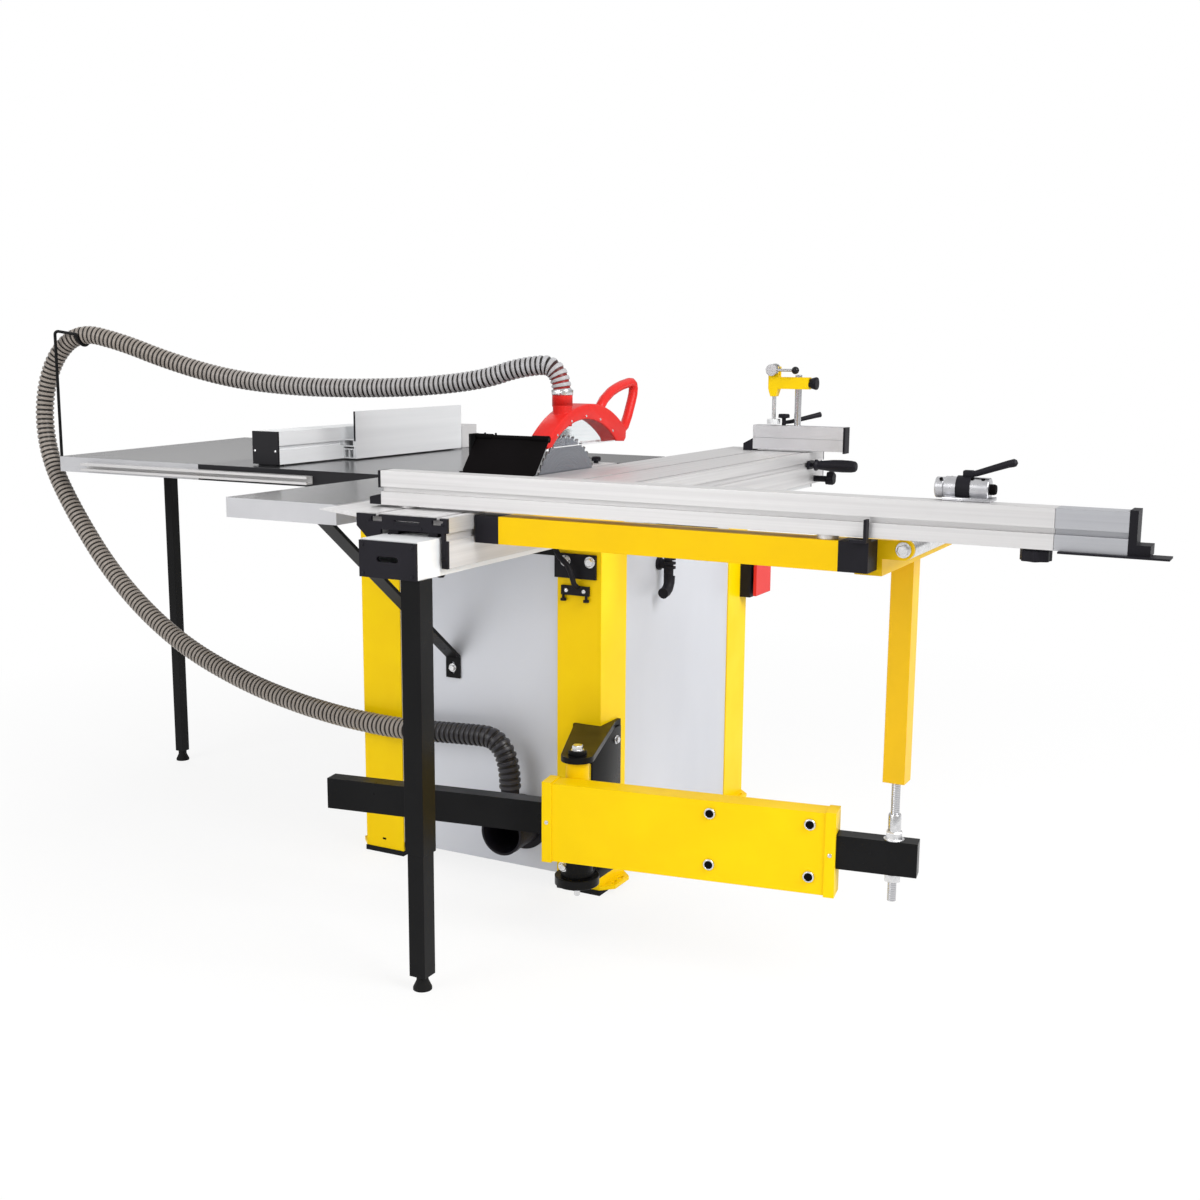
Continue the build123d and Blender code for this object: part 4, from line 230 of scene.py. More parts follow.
yellow = (0.93, 0.635, 0.0)
black = (0.0085, 0.008, 0.0105)
steel = (0.60, 0.60, 0.62)
silver = (0.70, 0.69, 0.69)
finishes = {
    "yellow_paint": surface("yellow_paint", yellow, (0.89, 0.585, 0.0), 0.36, shine=0.12),
    # A darker copy of the yellow paint, given to the outrigger's bar: painted shade.
    "painted_shade_yellow": surface("painted_shade_yellow", (0.86, 0.545, 0.0), (0.82, 0.505, 0.0), 0.36, shine=0.12),
    "grey_panel": surface("grey_panel", (0.63, 0.645, 0.69), (0.57, 0.585, 0.63), 0.42, 0.25,
                          (2.5, 2.5, 1.2), (420, 420, 420), 0.10),
    # The sheets' tops are darker than their edges: a painted reflection on the tops, over a glossier, more
    # metallic finish.
    "sheet_grey": split("sheet_grey", "Z", table_skin, ((0.56, 0.56, 0.58), 0.42, 0.4),
                        ((0.30, 0.30, 0.305), 0.22, 0.85), (900, 60, 900)),
    "table_iron": split("table_iron", "Z", table_skin, (black, 0.5, 0.0), ((0.25, 0.25, 0.26), 0.20, 0.9),
                        (1200, 30, 1200)),
    "aluminium": surface("aluminium", silver, (0.60, 0.59, 0.595), 0.42, 0.55, (160, 1.5, 160),
                         (1500, 8, 1500), 0.10),
    "aluminium_across": surface("aluminium_across", silver, (0.61, 0.60, 0.60), 0.40, 0.6, (1.5, 160, 160),
                                (8, 1500, 1500), 0.10),
    # A darker copy of the aluminium, for the fence's extension.
    "darker_aluminium": surface("darker_aluminium", (0.47, 0.475, 0.50), (0.42, 0.425, 0.45), 0.42, 0.6,
                              (1.5, 160, 160), (8, 1500, 1500), 0.10),
    # A paler, less metallic copy of the aluminium: matte anodising, brightened with painted light on the
    # faces that take it.
    "lit_anodised_face": surface("lit_anodised_face", (0.84, 0.85, 0.86), (0.78, 0.79, 0.80), 0.42, 0.2,
                             (40, 1.2, 40), (900, 10, 900), 0.05),
    "steel": surface("steel", steel, (0.45, 0.45, 0.47), 0.28, 0.95, (60, 60, 60), (900, 900, 900), 0.06),
    "bright_steel": surface("bright_steel", (0.78, 0.78, 0.79), (0.62, 0.62, 0.63), 0.24, 0.95, (90, 90, 90)),
    "black_paint": surface("black_paint", (0.008, 0.008, 0.0085), (0.005, 0.005, 0.0055), 0.30, shine=0.10),
    "black_plastic": surface("black_plastic", (0.012, 0.011, 0.016), black, 0.46, fine=(1500, 1500, 1500),
                             peel=0.2, shine=0.14),
    "satin_black": surface("satin_black", (0.0050, 0.0040, 0.0045), (0.0035, 0.003, 0.003), 0.62, shine=0.03),
    "red_plastic": surface("red_plastic", (0.72, 0.028, 0.022), (0.66, 0.020, 0.017), 0.30, peel=0.05,
                           shine=0.18, edge=0.003),
    "green_plastic": surface("green_plastic", (0.03, 0.34, 0.09), (0.02, 0.27, 0.07), 0.30),
    "rubber": surface("rubber", (0.011, 0.011, 0.011), (0.007, 0.007, 0.007), 0.62, fine=(1200, 1200, 1200),
                      peel=0.3, shine=0.12),
    "machine_iron": surface("machine_iron", (0.16, 0.165, 0.17), (0.11, 0.115, 0.12), 0.45, 0.2,
                            fine=(260, 260, 260), peel=0.4),
    "clear_pane": pane_finish(),
    "blade_steel": blade_finish(Vector((0.025, -0.046, 0.8025)) - middle),
    "hose_grey": hose_finish(),
    # Threaded steel screw below the plane; the post above it is a yellow darker than the paint elsewhere,
    # which is painted shade on the post.
    "post_and_screw": split("post_and_screw", "Z", 0.4045, (steel, 0.26, 0.95),
                            ((0.79, 0.47, 0.0), 0.36, 0.0), wave=0.0035),
    "lever_and_ball": split("lever_and_ball", "X", -0.2145 - middle.x, (black, 0.22, 0.0),
                            ((0.40, 0.40, 0.41), 0.25, 0.95)),
    "rip_ends": split("rip_ends", "Y", -0.2, (silver, 0.40, 0.55), (black, 0.46, 0.0)),
    "shoe_and_column": split("shoe_and_column", "Z", 0.9508, ((0.57, 0.57, 0.585), 0.40, 0.6),
                             (steel, 0.16, 0.95), (8, 900, 900)),
}
special = {
    "crosscut_fence": "aluminium_across", "fence_extension": "darker_aluminium",
    "fence_rails": "aluminium_across",
    "flip_stop": "bright_steel", "saw_blade": "blade_steel", "support_post": "post_and_screw",
    "cam_lever": "lever_and_ball", "shoe_fence": "shoe_and_column", "plunger": "bright_steel",
    "outrigger_roller": "bright_steel", "rear_flap": "satin_black", "rip_plate": "lit_anodised_face",
    "rip_fence_ends": "rip_ends", "rip_fence": "lit_anodised_face", "slide_beam": "lit_anodised_face",
    # The outrigger's bar takes the darker yellow, which is painted shade.
    "outrigger_frame": "painted_shade_yellow",
}
slot_of = {entry["node"]: entry["material_slot"] for entry in frame["record"]["subparts"]}
for name, shown in nodes.items():
    shown.data.materials.clear()
    shown.data.materials.append(finishes[special.get(name, slot_of[name])])


# Making pieces
def box(name):
    """The corners of a node's box, measured from the cabinet's centre."""
    return [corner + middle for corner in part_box(name)]


def piece(name, mesh, finish, body=None):
    """Turns a bmesh into a finished piece, which rides on a body if one is given."""
    bmesh.ops.remove_doubles(mesh, verts=mesh.verts, dist=1e-6)
    bmesh.ops.recalc_face_normals(mesh, faces=mesh.faces)
    bmesh.ops.translate(mesh, verts=mesh.verts, vec=-middle)
    data = bpy.data.meshes.new(name)
    mesh.to_mesh(data)
    mesh.free()
    data.shade_smooth()
    data.set_sharp_from_angle(angle=math.radians(32))
    data.materials.append(finishes[finish])
    made = bpy.data.objects.new(name, data)
    bpy.context.scene.collection.objects.link(made)
    if body:
        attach(made, body)
    return made


def turn(mesh, profile, centre, axis, steps=24):
    """Spins a profile of (radius, height) points about an axis through a centre."""
    up = axis.normalized()
    side = up.orthogonal().normalized()
    points = [mesh.verts.new(centre + side * radius + up * height) for radius, height in profile]
    edges = [mesh.edges.new(pair) for pair in zip(points, points[1:])]
    bmesh.ops.spin(mesh, geom=points + edges, cent=centre, axis=up, angle=math.tau, steps=steps,
                   use_merge=True)


def socket_screw(mesh, centre, axis, radius):
    """A round screw head with a recess, standing on a face."""
    tall = radius * 0.8
    turn(mesh, [(0, 0), (radius, 0), (radius, tall * 0.8), (radius * 0.88, tall), (radius * 0.55, tall),
                (radius * 0.5, tall * 0.4), (0, tall * 0.4)], centre, axis, 20)


def hex_bolt(mesh, centre, axis, radius):
    """A washer with a hexagon head on it."""
    thick = radius * 0.22
    turn(mesh, [(0, 0), (radius * 1.3, 0), (radius * 1.3, thick * 0.8), (radius * 1.24, thick), (0, thick)],
         centre, axis)
    turn(mesh, [(radius * 0.2, thick), (radius, thick), (radius, radius * 0.75),
                (radius * 0.82, radius * 0.9), (0, radius * 0.9)], centre, axis, 6)


def pan_screw(mesh, centre, axis, radius):
    """A low domed screw head."""
    turn(mesh, [(0, 0), (radius, 0), (radius * 0.95, radius * 0.3), (radius * 0.6, radius * 0.5),
                (0, radius * 0.55)], centre, axis, 16)


def block(mesh, low, high, bevel=0.0008):
    """A block between two corners, with rounded edges unless the bevel is 0."""
    low, high = Vector(low), Vector(high)
    size = Matrix.Diagonal((*(high - low), 1))
    made = bmesh.ops.create_cube(mesh, size=1.0, matrix=Matrix.Translation((low + high) / 2) @ size)
    edges = list({edge for vert in made["verts"] for edge in vert.link_edges})
    if bevel:
        bmesh.ops.bevel(mesh, geom=edges, offset=bevel, segments=2, profile=0.5, affect="EDGES", material=-1)


def slab(mesh, points, low, high, bevel=0.001):
    """A plate between two X faces, with an outline of (Y, Z) points and rounded edges."""
    near = [mesh.verts.new((low, y, z)) for y, z in points]
    grown = bmesh.ops.extrude_face_region(mesh, geom=[mesh.faces.new(near)])["geom"]
    far = [part for part in grown if isinstance(part, bmesh.types.BMVert)]
    bmesh.ops.translate(mesh, verts=far, vec=X * (high - low))
    edges = {edge for vert in near + far for edge in vert.link_edges}
    rims = [edge for edge in edges if abs(edge.verts[0].co.x - edge.verts[1].co.x) < 1e-9]
    bmesh.ops.bevel(mesh, geom=rims, offset=bevel, segments=3, profile=0.5, affect="EDGES", material=-1)


def fasteners(name, kind, places, radius, finish, body):
    """Like fasteners as one piece: each place is a (centre, axis) pair."""
    mesh = bmesh.new()
    for centre, axis in places:
        kind(mesh, Vector(centre), axis, radius)
    return piece(name, mesh, finish, body)


# The dust hose
def smooth_route(points):
    """The points along a smooth curve whose control points are the route's."""
    curve = bpy.data.curves.new("hose_route", "CURVE")
    curve.dimensions = "3D"
    curve.resolution_u = 40
    line = curve.splines.new("NURBS")
    line.points.add(len(points) - 1)
    for control, point in zip(line.points, points):
        control.co = (*point, 1)
    line.order_u = 3
    line.use_endpoint_u = True
    holder = bpy.data.objects.new("hose_route", curve)
    mesh = bpy.data.meshes.new_from_object(holder)
    route = [vert.co.copy() for vert in mesh.vertices]
    bpy.data.objects.remove(holder)
    return route


def dust_hose():
    """The hose: rings drawn out along the route, with a crest and a root for each rib."""
    route = smooth_route(hose_points)
    reach = [0.0]
    for before, after in zip(route, route[1:]):
        reach.append(reach[-1] + (after - before).length)
    length = reach[-1]
    step = length / hose_ribs
    stations = [(0.0, hose_radius, 1.0)]
    for index in range(hose_ribs):
        for share, radius, height in ((0.10, hose_root, 0.0), (0.36, hose_root, 0.0),
                                      (0.48, hose_radius - 0.0007, 1.0), (0.73, hose_radius, 1.0),
                                      (0.98, hose_radius - 0.0007, 1.0)):
            stations.append(((index + share) * step, radius, height))
    mesh = bmesh.new()
    along = mesh.verts.layers.float.new("along")
    rib = mesh.verts.layers.float.new("rib")
    ring = None
    segment = 0
    heading = None
    frame_turn = None
    for distance, radius, height in stations:
        while segment < len(route) - 2 and reach[segment + 1] < distance:
            segment += 1
        part = (distance - reach[segment]) / (reach[segment + 1] - reach[segment])
        centre = route[segment].lerp(route[segment + 1], min(part, 1.0))
        before = route[max(segment - 1, 0)]
        after = route[min(segment + 2, len(route) - 1)]
        tangent = (after - before).normalized()
        if ring is None:
            frame_turn = Z.rotation_difference(tangent)
            ring = bmesh.ops.create_circle(mesh, segments=20, radius=1.0)["verts"]
            flat = [vert.co.copy() for vert in ring]
            edges = list({edge for vert in ring for edge in vert.link_edges})
        else:
            frame_turn = heading.rotation_difference(tangent) @ frame_turn
            new = bmesh.ops.extrude_edge_only(mesh, edges=edges)["geom"]
            linked = {edge: None for edge in new if isinstance(edge, bmesh.types.BMEdge)}
            fresh = {vert for vert in new if isinstance(vert, bmesh.types.BMVert)}
            ring = [next(edge.other_vert(vert) for edge in vert.link_edges if edge.other_vert(vert) in fresh)
                    for vert in ring]
            edges = [edge for edge in linked if edge.verts[0] in fresh and edge.verts[1] in fresh]
        heading = tangent
        for vert, spot in zip(ring, flat):
            vert.co = centre + frame_turn @ (spot * radius)
            vert[along] = distance / length
            vert[rib] = height
    hose = piece("ribbed_hose", mesh, "hose_grey")
    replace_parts(hose, "dust_hose")
    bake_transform(hose)


def hose_clip():
    """The steel clip that holds the hose on the guard's stub, with its screw housing."""
    low, high = 1.060, 1.072
    inner, outer = hose_radius + 0.0004, hose_radius + 0.0016
    mesh = bmesh.new()
    turn(mesh, [(inner, low), (outer, low), (outer + 0.0005, low + 0.002), (outer + 0.0005, high - 0.002),
                (outer, high), (inner, high), (inner, low)], stub_centre, Z, 40)
    face = stub_centre.y + outer
    block(mesh, (stub_centre.x - 0.012, face - 0.001, low + 0.001),
          (stub_centre.x + 0.008, face + 0.007, high - 0.001), 0.0015)
    socket_screw(mesh, Vector((stub_centre.x - 0.012, face + 0.003, (low + high) / 2)), -X, 0.005)
    piece("hose_clip", mesh, "bright_steel", "guard")


dust_hose()
hose_clip()


# Fasteners and small fittings
arm_frame = Matrix.Translation(arm_pivot) @ Matrix.Rotation(arm_turn, 4, "Z")
arm_out = arm_frame.to_3x3() @ Y


def on_arm(u, v, z):
    """A point of the swing arm from its place along it, out from it and its height."""
    return arm_frame @ Vector((u, v, z))


def rod(mesh, points, radius, end_radius=None):
    """A round rod through a few points, which may taper."""
    end_radius = end_radius or radius
    points = [Vector(point) for point in points]
    last = len(points) - 1
    ring = bmesh.ops.create_circle(mesh, segments=14, radius=1.0, cap_ends=True)["verts"]
    flat = [vert.co.copy() for vert in ring]
    edges = list({edge for vert in ring for edge in vert.link_edges})
    heading = (points[1] - points[0]).normalized()
    facing = Z.rotation_difference(heading)
    for index, point in enumerate(points):
        if index:
            tangent = (points[min(index + 1, last)] - points[index - 1]).normalized()
            facing = heading.rotation_difference(tangent) @ facing
            heading = tangent
            new = bmesh.ops.extrude_edge_only(mesh, edges=edges)["geom"]
            fresh = {part for part in new if isinstance(part, bmesh.types.BMVert)}
            ring = [next(edge.other_vert(vert) for edge in vert.link_edges if edge.other_vert(vert) in fresh)
                    for vert in ring]
            edges = [part for part in new
                     if isinstance(part, bmesh.types.BMEdge) and set(part.verts) <= fresh]
        size = radius + (end_radius - radius) * index / last
        for vert, spot in zip(ring, flat):
            vert.co = point + facing @ (spot * size)
    bmesh.ops.edgeloop_fill(mesh, edges=edges)


def hex_nut(mesh, centre, axis, radius):
    """A hexagon nut with a chamfer, standing on a washer."""
    turn(mesh, [(0, 0), (radius * 1.18, 0), (radius * 1.18, 0.0016), (0, 0.0016)], centre, axis)
    turn(mesh, [(0, 0.0016), (radius, 0.0016), (radius, radius * 0.86), (radius * 0.9, radius * 0.96),
                (0, radius * 0.96)], centre, axis, 6)


def eyelet_rim(mesh, centre, axis, radius):
    """The pale rim of a hole in the arm."""
    inner = radius * 0.74
    turn(mesh, [(inner, 0), (radius, 0), (radius, 0.0046), (radius * 0.92, 0.0054), (inner, 0.0054),
                (inner, 0)], centre, axis)


def hole_shade_disc(mesh, centre, axis, radius):
    """A flat dark disc, painted shade standing in for the inside of a hole."""
    turn(mesh, [(0, 0), (radius, 0), (radius, 0.0046), (0, 0.0046)], centre, axis, 20)


def lobed_knob(mesh, centre, axis, radius, height, lobes=7):
    """A knob whose rim runs in lobes."""
    up = axis.normalized()
    side = up.orthogonal().normalized()
    across = up.cross(side)
    for low, high, share in ((0.0, height * 0.85, 1.0), (height * 0.85, height, 0.86)):
        made = bmesh.ops.create_circle(mesh, segments=lobes * 8, radius=1.0, cap_ends=True)["verts"]
        for vert in made:
            angle = math.atan2(vert.co.y, vert.co.x)
            reach = radius * share * (0.93 + 0.07 * math.cos(lobes * angle))
            vert.co = centre + up * low + (side * math.cos(angle) + across * math.sin(angle)) * reach
        face = next(face for face in made[0].link_faces)
        grown = bmesh.ops.extrude_face_region(mesh, geom=[face])["geom"]
        moved = [part for part in grown if isinstance(part, bmesh.types.BMVert)]
        bmesh.ops.translate(mesh, verts=moved, vec=up * (high - low))


def arc(centre, radius, first, last, steps):
    """Points (Y, Z) on the upper half of a circle, from one Y to another."""
    angles = [math.acos((y - centre[0]) / radius) for y in (first, last)]
    return [(centre[0] + radius * math.cos(t), centre[1] + radius * math.sin(t))
            for t in (angles[0] + (angles[1] - angles[0]) * step / steps for step in range(steps + 1))]


def over_pivot(z):
    """A point on the swing arm's pivot axis."""
    return Vector((arm_pivot.x, arm_pivot.y, z))


# The swing arm and the nuts of its support post
eyelets = [(on_arm(u, arm_face, z), arm_out) for u in (-0.290, -0.480) for z in (0.2127, 0.3133)]
fasteners("arm_eyelet_rims", eyelet_rim, eyelets, 0.0108, "bright_steel", "swing_arm")
# Dark discs in the eyelets: painted shade for the holes' insides.
fasteners("arm_eyelet_hole_shades", hole_shade_disc, eyelets, 0.0080, "satin_black", "swing_arm")
collar_places = [(on_arm(u, arm_collar_face, 0.258), arm_out) for u in (0.038, -0.518)]
fasteners("arm_collar_screws", pan_screw, collar_places, 0.0042, "bright_steel", "swing_arm")
mesh = bmesh.new()
for u in (-0.5278, 0.0448):
    for low, high in ((0.1832, 0.2298), (0.2962, 0.3328)):
        block(mesh, (u, 0.0282, low), (u + 0.003, 0.0668, high), 0.0004)
bmesh.ops.transform(mesh, matrix=arm_frame, verts=mesh.verts)
piece("arm_end_plates", mesh, "yellow_paint", "swing_arm")
post_x, post_y = -1.0007, 0.5654
tube_top = Vector((post_x, post_y, 0.2951))
tube_low = Vector((post_x, post_y, 0.2309))
mesh = bmesh.new()
hex_nut(mesh, tube_top, Z, 0.0162)
hex_nut(mesh, tube_low, -Z, 0.0162)
turn(mesh, [(0, 0.010), (0.0118, 0.010), (0.0118, 0.046), (0.0108, 0.048), (0, 0.048)], tube_top, Z)
piece("support_nuts", mesh, "bright_steel", "arm_tube")

# The roller, the carriage's end plates and the beam's covers
roller_low, roller_high = box("outrigger_roller")
roller_x, roller_z = (roller_low.x + roller_high.x) / 2, (roller_low.z + roller_high.z) / 2
roller_ends = [((roller_x, roller_high.y - 0.006, roller_z), Y),
               ((roller_x, roller_low.y + 0.006, roller_z), -Y)]
fasteners("roller_bolts", hex_bolt, roller_ends, 0.010, "bright_steel", "outrigger_roller")
plate_low, plate_high = box("carriage_end_plates")
plate_spots = ((-0.262, 0.862), (-0.262, 0.800), (-0.146, 0.838), (-0.215, 0.851), (-0.100, 0.862))
plate_places = [((x, y, z), axis) for y, axis in ((plate_high.y, Y), (plate_low.y, -Y))
                for x, z in plate_spots]
fasteners("end_plate_screws", pan_screw, plate_places, 0.0034, "black_plastic", "carriage")
beam_low, beam_high = box("slide_beam")
cover_places = [((x, y, z), axis) for y, axis in ((beam_high.y + 0.006, Y), (beam_low.y - 0.006, -Y))
                for x in (-0.247, -0.141) for z in (0.777, 0.828)]
fasteners("beam_cover_screws", pan_screw, cover_places, 0.0034, "black_plastic", "base")
mesh = bmesh.new()
for y in (plate_high.y - 0.0012, plate_low.y + 0.0002):
    block(mesh, (-0.2130, y, 0.8530), (-0.1560, y + 0.001, 0.8625), 0.0002)
piece("end_plate_infill", mesh, "black_plastic", "carriage")
fasteners("beam_bolt", hex_bolt, [((-0.2453, 0.9039, beam_low.z), -Z)], 0.0065, "black_plastic", "base")

# The beam's adjusters and the cable
post_face = 0.404
adjuster_face = post_face + 0.007
bolt_places = [((x, adjuster_face, 0.731), Y) for x in (-0.286, -0.228)]
fasteners("adjuster_bolts", hex_bolt, bolt_places, 0.0095, "bright_steel", "base")
screw_places = [((x, adjuster_face, 0.668), Y) for x in (-0.272, -0.230)]
fasteners("adjuster_screws", pan_screw, screw_places, 0.0048, "bright_steel", "base")
mesh = bmesh.new()
for x in (-0.277, -0.222):
    turn(mesh, [(0, 0), (0.003, 0), (0.003, 0.007), (0.0065, 0.008), (0.0065, 0.013), (0, 0.014)],
         Vector((x, post_face + 0.0055, 0.658)), -Z, 16)
piece("adjuster_thumbscrews", mesh, "black_plastic", "base")
mesh = bmesh.new()
rod(mesh, [(-0.206, 0.424, 0.772), (-0.211, 0.426, 0.762), (-0.2165, 0.428, 0.750), (-0.224, 0.429, 0.740),
           (-0.2335, 0.430, 0.733), (-0.2430, 0.430, 0.724), (-0.2500, 0.430, 0.712), (-0.2535, 0.428, 0.698),
           (-0.2545, 0.422, 0.684), (-0.2545, 0.410, 0.676)], 0.0058)
piece("adjuster_cable", mesh, "black_plastic", "base")
elbow_x, elbow_y = -0.336, 0.122
mesh = bmesh.new()
rod(mesh, [(elbow_x, elbow_y, 0.668), (elbow_x, 0.124, 0.652), (elbow_x, 0.131, 0.641),
           (elbow_x, 0.143, 0.634), (elbow_x, 0.156, 0.632)], 0.0125)
for z in (0.704, 0.694, 0.684):
    turn(mesh, [(0.010, 0), (0.0135, 0), (0.0135, 0.005), (0.010, 0.005), (0.010, 0)],
         Vector((elbow_x, elbow_y, z)), Z)
piece("elbow_end", mesh, "black_plastic", "base")

# The swing arm's brackets, its pivot and the outlet
web_face = -0.3222
mesh = bmesh.new()
block(mesh, (web_face, 0.330, 0.204), (-0.3182, 0.462, 0.3675), 0.001)
piece("bracket_web", mesh, "black_paint", "base")
fasteners("bracket_bolts", hex_bolt, [((web_face, 0.352, 0.340), -X)], 0.0075, "bright_steel", "base")
pivot_top, pivot_low = 0.380, 0.118
plate_under, plate_over = pivot_low - 0.0055, pivot_low + 0.013
mesh = bmesh.new()
turn(mesh, [(0, 0), (0.0186, 0), (0.0186, 0.0075), (0.0172, 0.0092), (0, 0.0092)],
     over_pivot(pivot_top), Z, 32)
piece("pivot_cap", mesh, "black_paint", "base")
mesh = bmesh.new()
hex_nut(mesh, over_pivot(pivot_top + 0.0085), Z, 0.0112)
hex_nut(mesh, over_pivot(plate_under), -Z, 0.0125)
turn(mesh, [(0, 0), (0.006, 0), (0.006, 0.024), (0.005, 0.026), (0, 0.026)], over_pivot(plate_under), -Z, 16)
hex_bolt(mesh, Vector((-0.3560, 0.6465, 0.1540)), Y, 0.0085)
piece("pivot_bolt", mesh, "bright_steel", "base")
mesh = bmesh.new()
turn(mesh, [(0, 0), (0.0440, 0), (0.0450, 0.001), (0.0450, 0.0175), (0.0440, 0.0185), (0, 0.0185)],
     over_pivot(plate_under), Z, 40)
turn(mesh, [(0, 0), (0.0325, 0), (0.0325, 0.0465), (0, 0.0465)], over_pivot(plate_over), Z, 32)
block(mesh, (-0.4000, 0.4450, plate_under), (-0.3270, 0.6170, plate_over), 0.001)
piece("lower_bracket", mesh, "black_paint", "base")
mesh = bmesh.new()
turn(mesh, [(0, 0), (0.0465, 0), (0.0465, 0.0008), (0, 0.0008)], Vector((-0.118, 0.4100, 0.138)), Y, 32)
piece("outlet_shade", mesh, "satin_black", "base")
fasteners("brace_bolts", hex_bolt, [((0.062, 0.406, 0.467), Y)], 0.0075, "bright_steel", "base")
# A dark strip on the cabinet's post: painted shade in its slot.
mesh = bmesh.new()
block(mesh, (0.2550, post_face - 0.001, 0.0320), (0.2645, post_face + 0.0004, 0.0368), 0.0003)
piece("post_slot_shade", mesh, "satin_black", "base")

# Pads under the cabinet's posts and feet under the legs
mesh = bmesh.new()
for x in (-0.312, 0.205):
    for y in (-0.406, 0.286):
        block(mesh, (x, y, 0.0), (x + 0.107, y + 0.120, 0.012), 0.0008)
for x, y in leg_places:
    turn(mesh, [(0, 0), (0.0178, 0), (0.0178, 0.004), (0.0112, 0.018), (0.0112, 0.0285), (0, 0.0285)],
         Vector((x, y, 0)), Z, 32)
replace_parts(piece("pads_and_feet", mesh, "rubber", "base"), "feet")

# The rip fence and the rear flap
cap_face = box("rip_fence_ends")[1].y
cap_places = [((x, cap_face, 0.912), Y) for x in (0.699, 0.764)]
fasteners("rip_cap_screws", pan_screw, cap_places, 0.0034, "bright_steel", "rip_fence")
tall_low, tall_high = box("rip_plate")
mesh = bmesh.new()
block(mesh, (tall_low.x + 0.0004, tall_high.y - 0.0002, tall_low.z + 0.046),
      (tall_low.x + 0.0058, tall_high.y + 0.0006, tall_high.z - 0.0005), 0.0002)
piece("rip_plate_end", mesh, "black_plastic", "rip_plate")
flap_low, flap_high = box("rear_flap")
mesh = bmesh.new()
rod(mesh, [(flap_low.x + 0.001, 0.108, 0.961), (flap_high.x - 0.001, 0.108, 0.961)], 0.0062)
piece("flap_bead", mesh, "satin_black", "rear_flap")
flap_places = [((x, 0.1085, 0.9690), Y) for x in (0.130, 0.160)]
fasteners("flap_screws", pan_screw, flap_places, 0.003, "black_plastic", "base")

# The crosscut fence's knob and flip stop
knob_low, knob_high = box("fence_knob")
knob_x, knob_y = (knob_low.x + knob_high.x) / 2, (knob_low.y + knob_high.y) / 2
mesh = bmesh.new()
lobed_knob(mesh, Vector((knob_x, knob_y, knob_low.z - 0.001)), Z, 0.0245, 0.0195)
piece("fence_knob_grip", mesh, "black_plastic", "fence_knob")
drum_y, drum_z, drum_radius = 0.792, 0.9625, 0.018
mesh = bmesh.new()
for x, lift in ((-1.118, 52), (-1.131, 118), (-1.166, 60), (-1.183, 60)):
    out = Vector((0, math.cos(math.radians(lift)), math.sin(math.radians(lift))))
    turn(mesh, [(0, 0), (0.0030, 0), (0.0030, 0.0007), (0, 0.0007)],
         Vector((x, drum_y, drum_z)) + out * drum_radius, out, 14)
turn(mesh, [(0, 0), (0.0085, 0), (0.0085, 0.007), (0.007, 0.010), (0, 0.010)],
     Vector((-1.192, drum_y, drum_z)), -X, 20)
piece("stop_drum_screws", mesh, "satin_black", "flip_stop")
mesh = bmesh.new()
for x, length, radius in ((-1.1085, 0.0140, 0.0165), (-1.1225, 0.0700, drum_radius)):
    turn(mesh, [(0, 0), (radius - 0.001, 0), (radius, 0.001), (radius, length - 0.001),
                (radius - 0.001, length), (0, length)], Vector((x, drum_y, drum_z)), -X, 40)
block(mesh, (-1.2000, drum_y - 0.014, 0.9444), (-1.1240, drum_y + 0.026, 0.9500), 0.001)
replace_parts(piece("stop_drum", mesh, "steel", "flip_stop"), "flip_stop")
collar_inner, collar_outer = drum_radius + 0.0003, drum_radius + 0.002
mesh = bmesh.new()
turn(mesh, [(collar_inner, 0), (collar_outer, 0), (collar_outer, 0.022), (collar_inner, 0.022),
            (collar_inner, 0)], Vector((-1.1420, drum_y, drum_z)), -X, 40)
block(mesh, (-1.1660, drum_y - 0.007, drum_z + 0.0185), (-1.1500, drum_y + 0.007, drum_z + 0.0285), 0.002)
rod(mesh, [(-1.1540, drum_y, 0.9830), (-1.1700, drum_y, 0.9865), (-1.1960, drum_y, 0.9955),
           (-1.2180, drum_y, 1.0030), (-1.2260, drum_y, 1.0050)], 0.0046, 0.0064)
turn(mesh, [(0, -0.0066), (0.0045, -0.0048), (0.0066, 0), (0.0045, 0.0048), (0, 0.0066)],
     Vector((-1.2260, drum_y, 1.0050)), Z, 20)
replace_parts(piece("stop_grip", mesh, "black_plastic", "stop_lever"), "stop_lever")

# The edging shoe with its hold-down, and the carriage's handles
shoe_y = -0.980
plunger_x, column_x = -0.152, -0.226
lever_pivot = Vector((-0.184, shoe_y, 0.9505))
mesh = bmesh.new()
turn(mesh, [(0, 0), (0.0100, 0), (0.0150, 0.005), (0.0185, 0.019), (0.0175, 0.0225), (0, 0.0225)],
     Vector((-0.2604, shoe_y, 1.073)), -X, 32)
piece("clamp_knob_grip", mesh, "black_plastic", "clamp_knob")
mesh = bmesh.new()
turn(mesh, [(0, 0), (0.0190, 0), (0.0195, 0.001), (0.0195, 0.0125), (0.0185, 0.0136), (0, 0.0136)],
     Vector((plunger_x, shoe_y, 0.9543)), Z, 32)
piece("plunger_collar", mesh, "lit_anodised_face", "plunger")
mesh = bmesh.new()
block(mesh, (-0.3720, -1.000, 0.8802), (-0.0960, -0.960, 0.9135), 0)
block(mesh, (-0.3718, -0.9992, 0.9130), (-0.0962, -0.9608, 0.9150), 0)
block(mesh, (-0.3720, -1.000, 0.9145), (-0.0960, -0.960, 0.9503), 0)
turn(mesh, [(0, 0.9500), (0.0098, 0.9500), (0.0098, 1.0955), (0.0085, 1.0970), (0, 1.0970)],
     Vector((column_x, shoe_y, 0.0)), Z, 32)
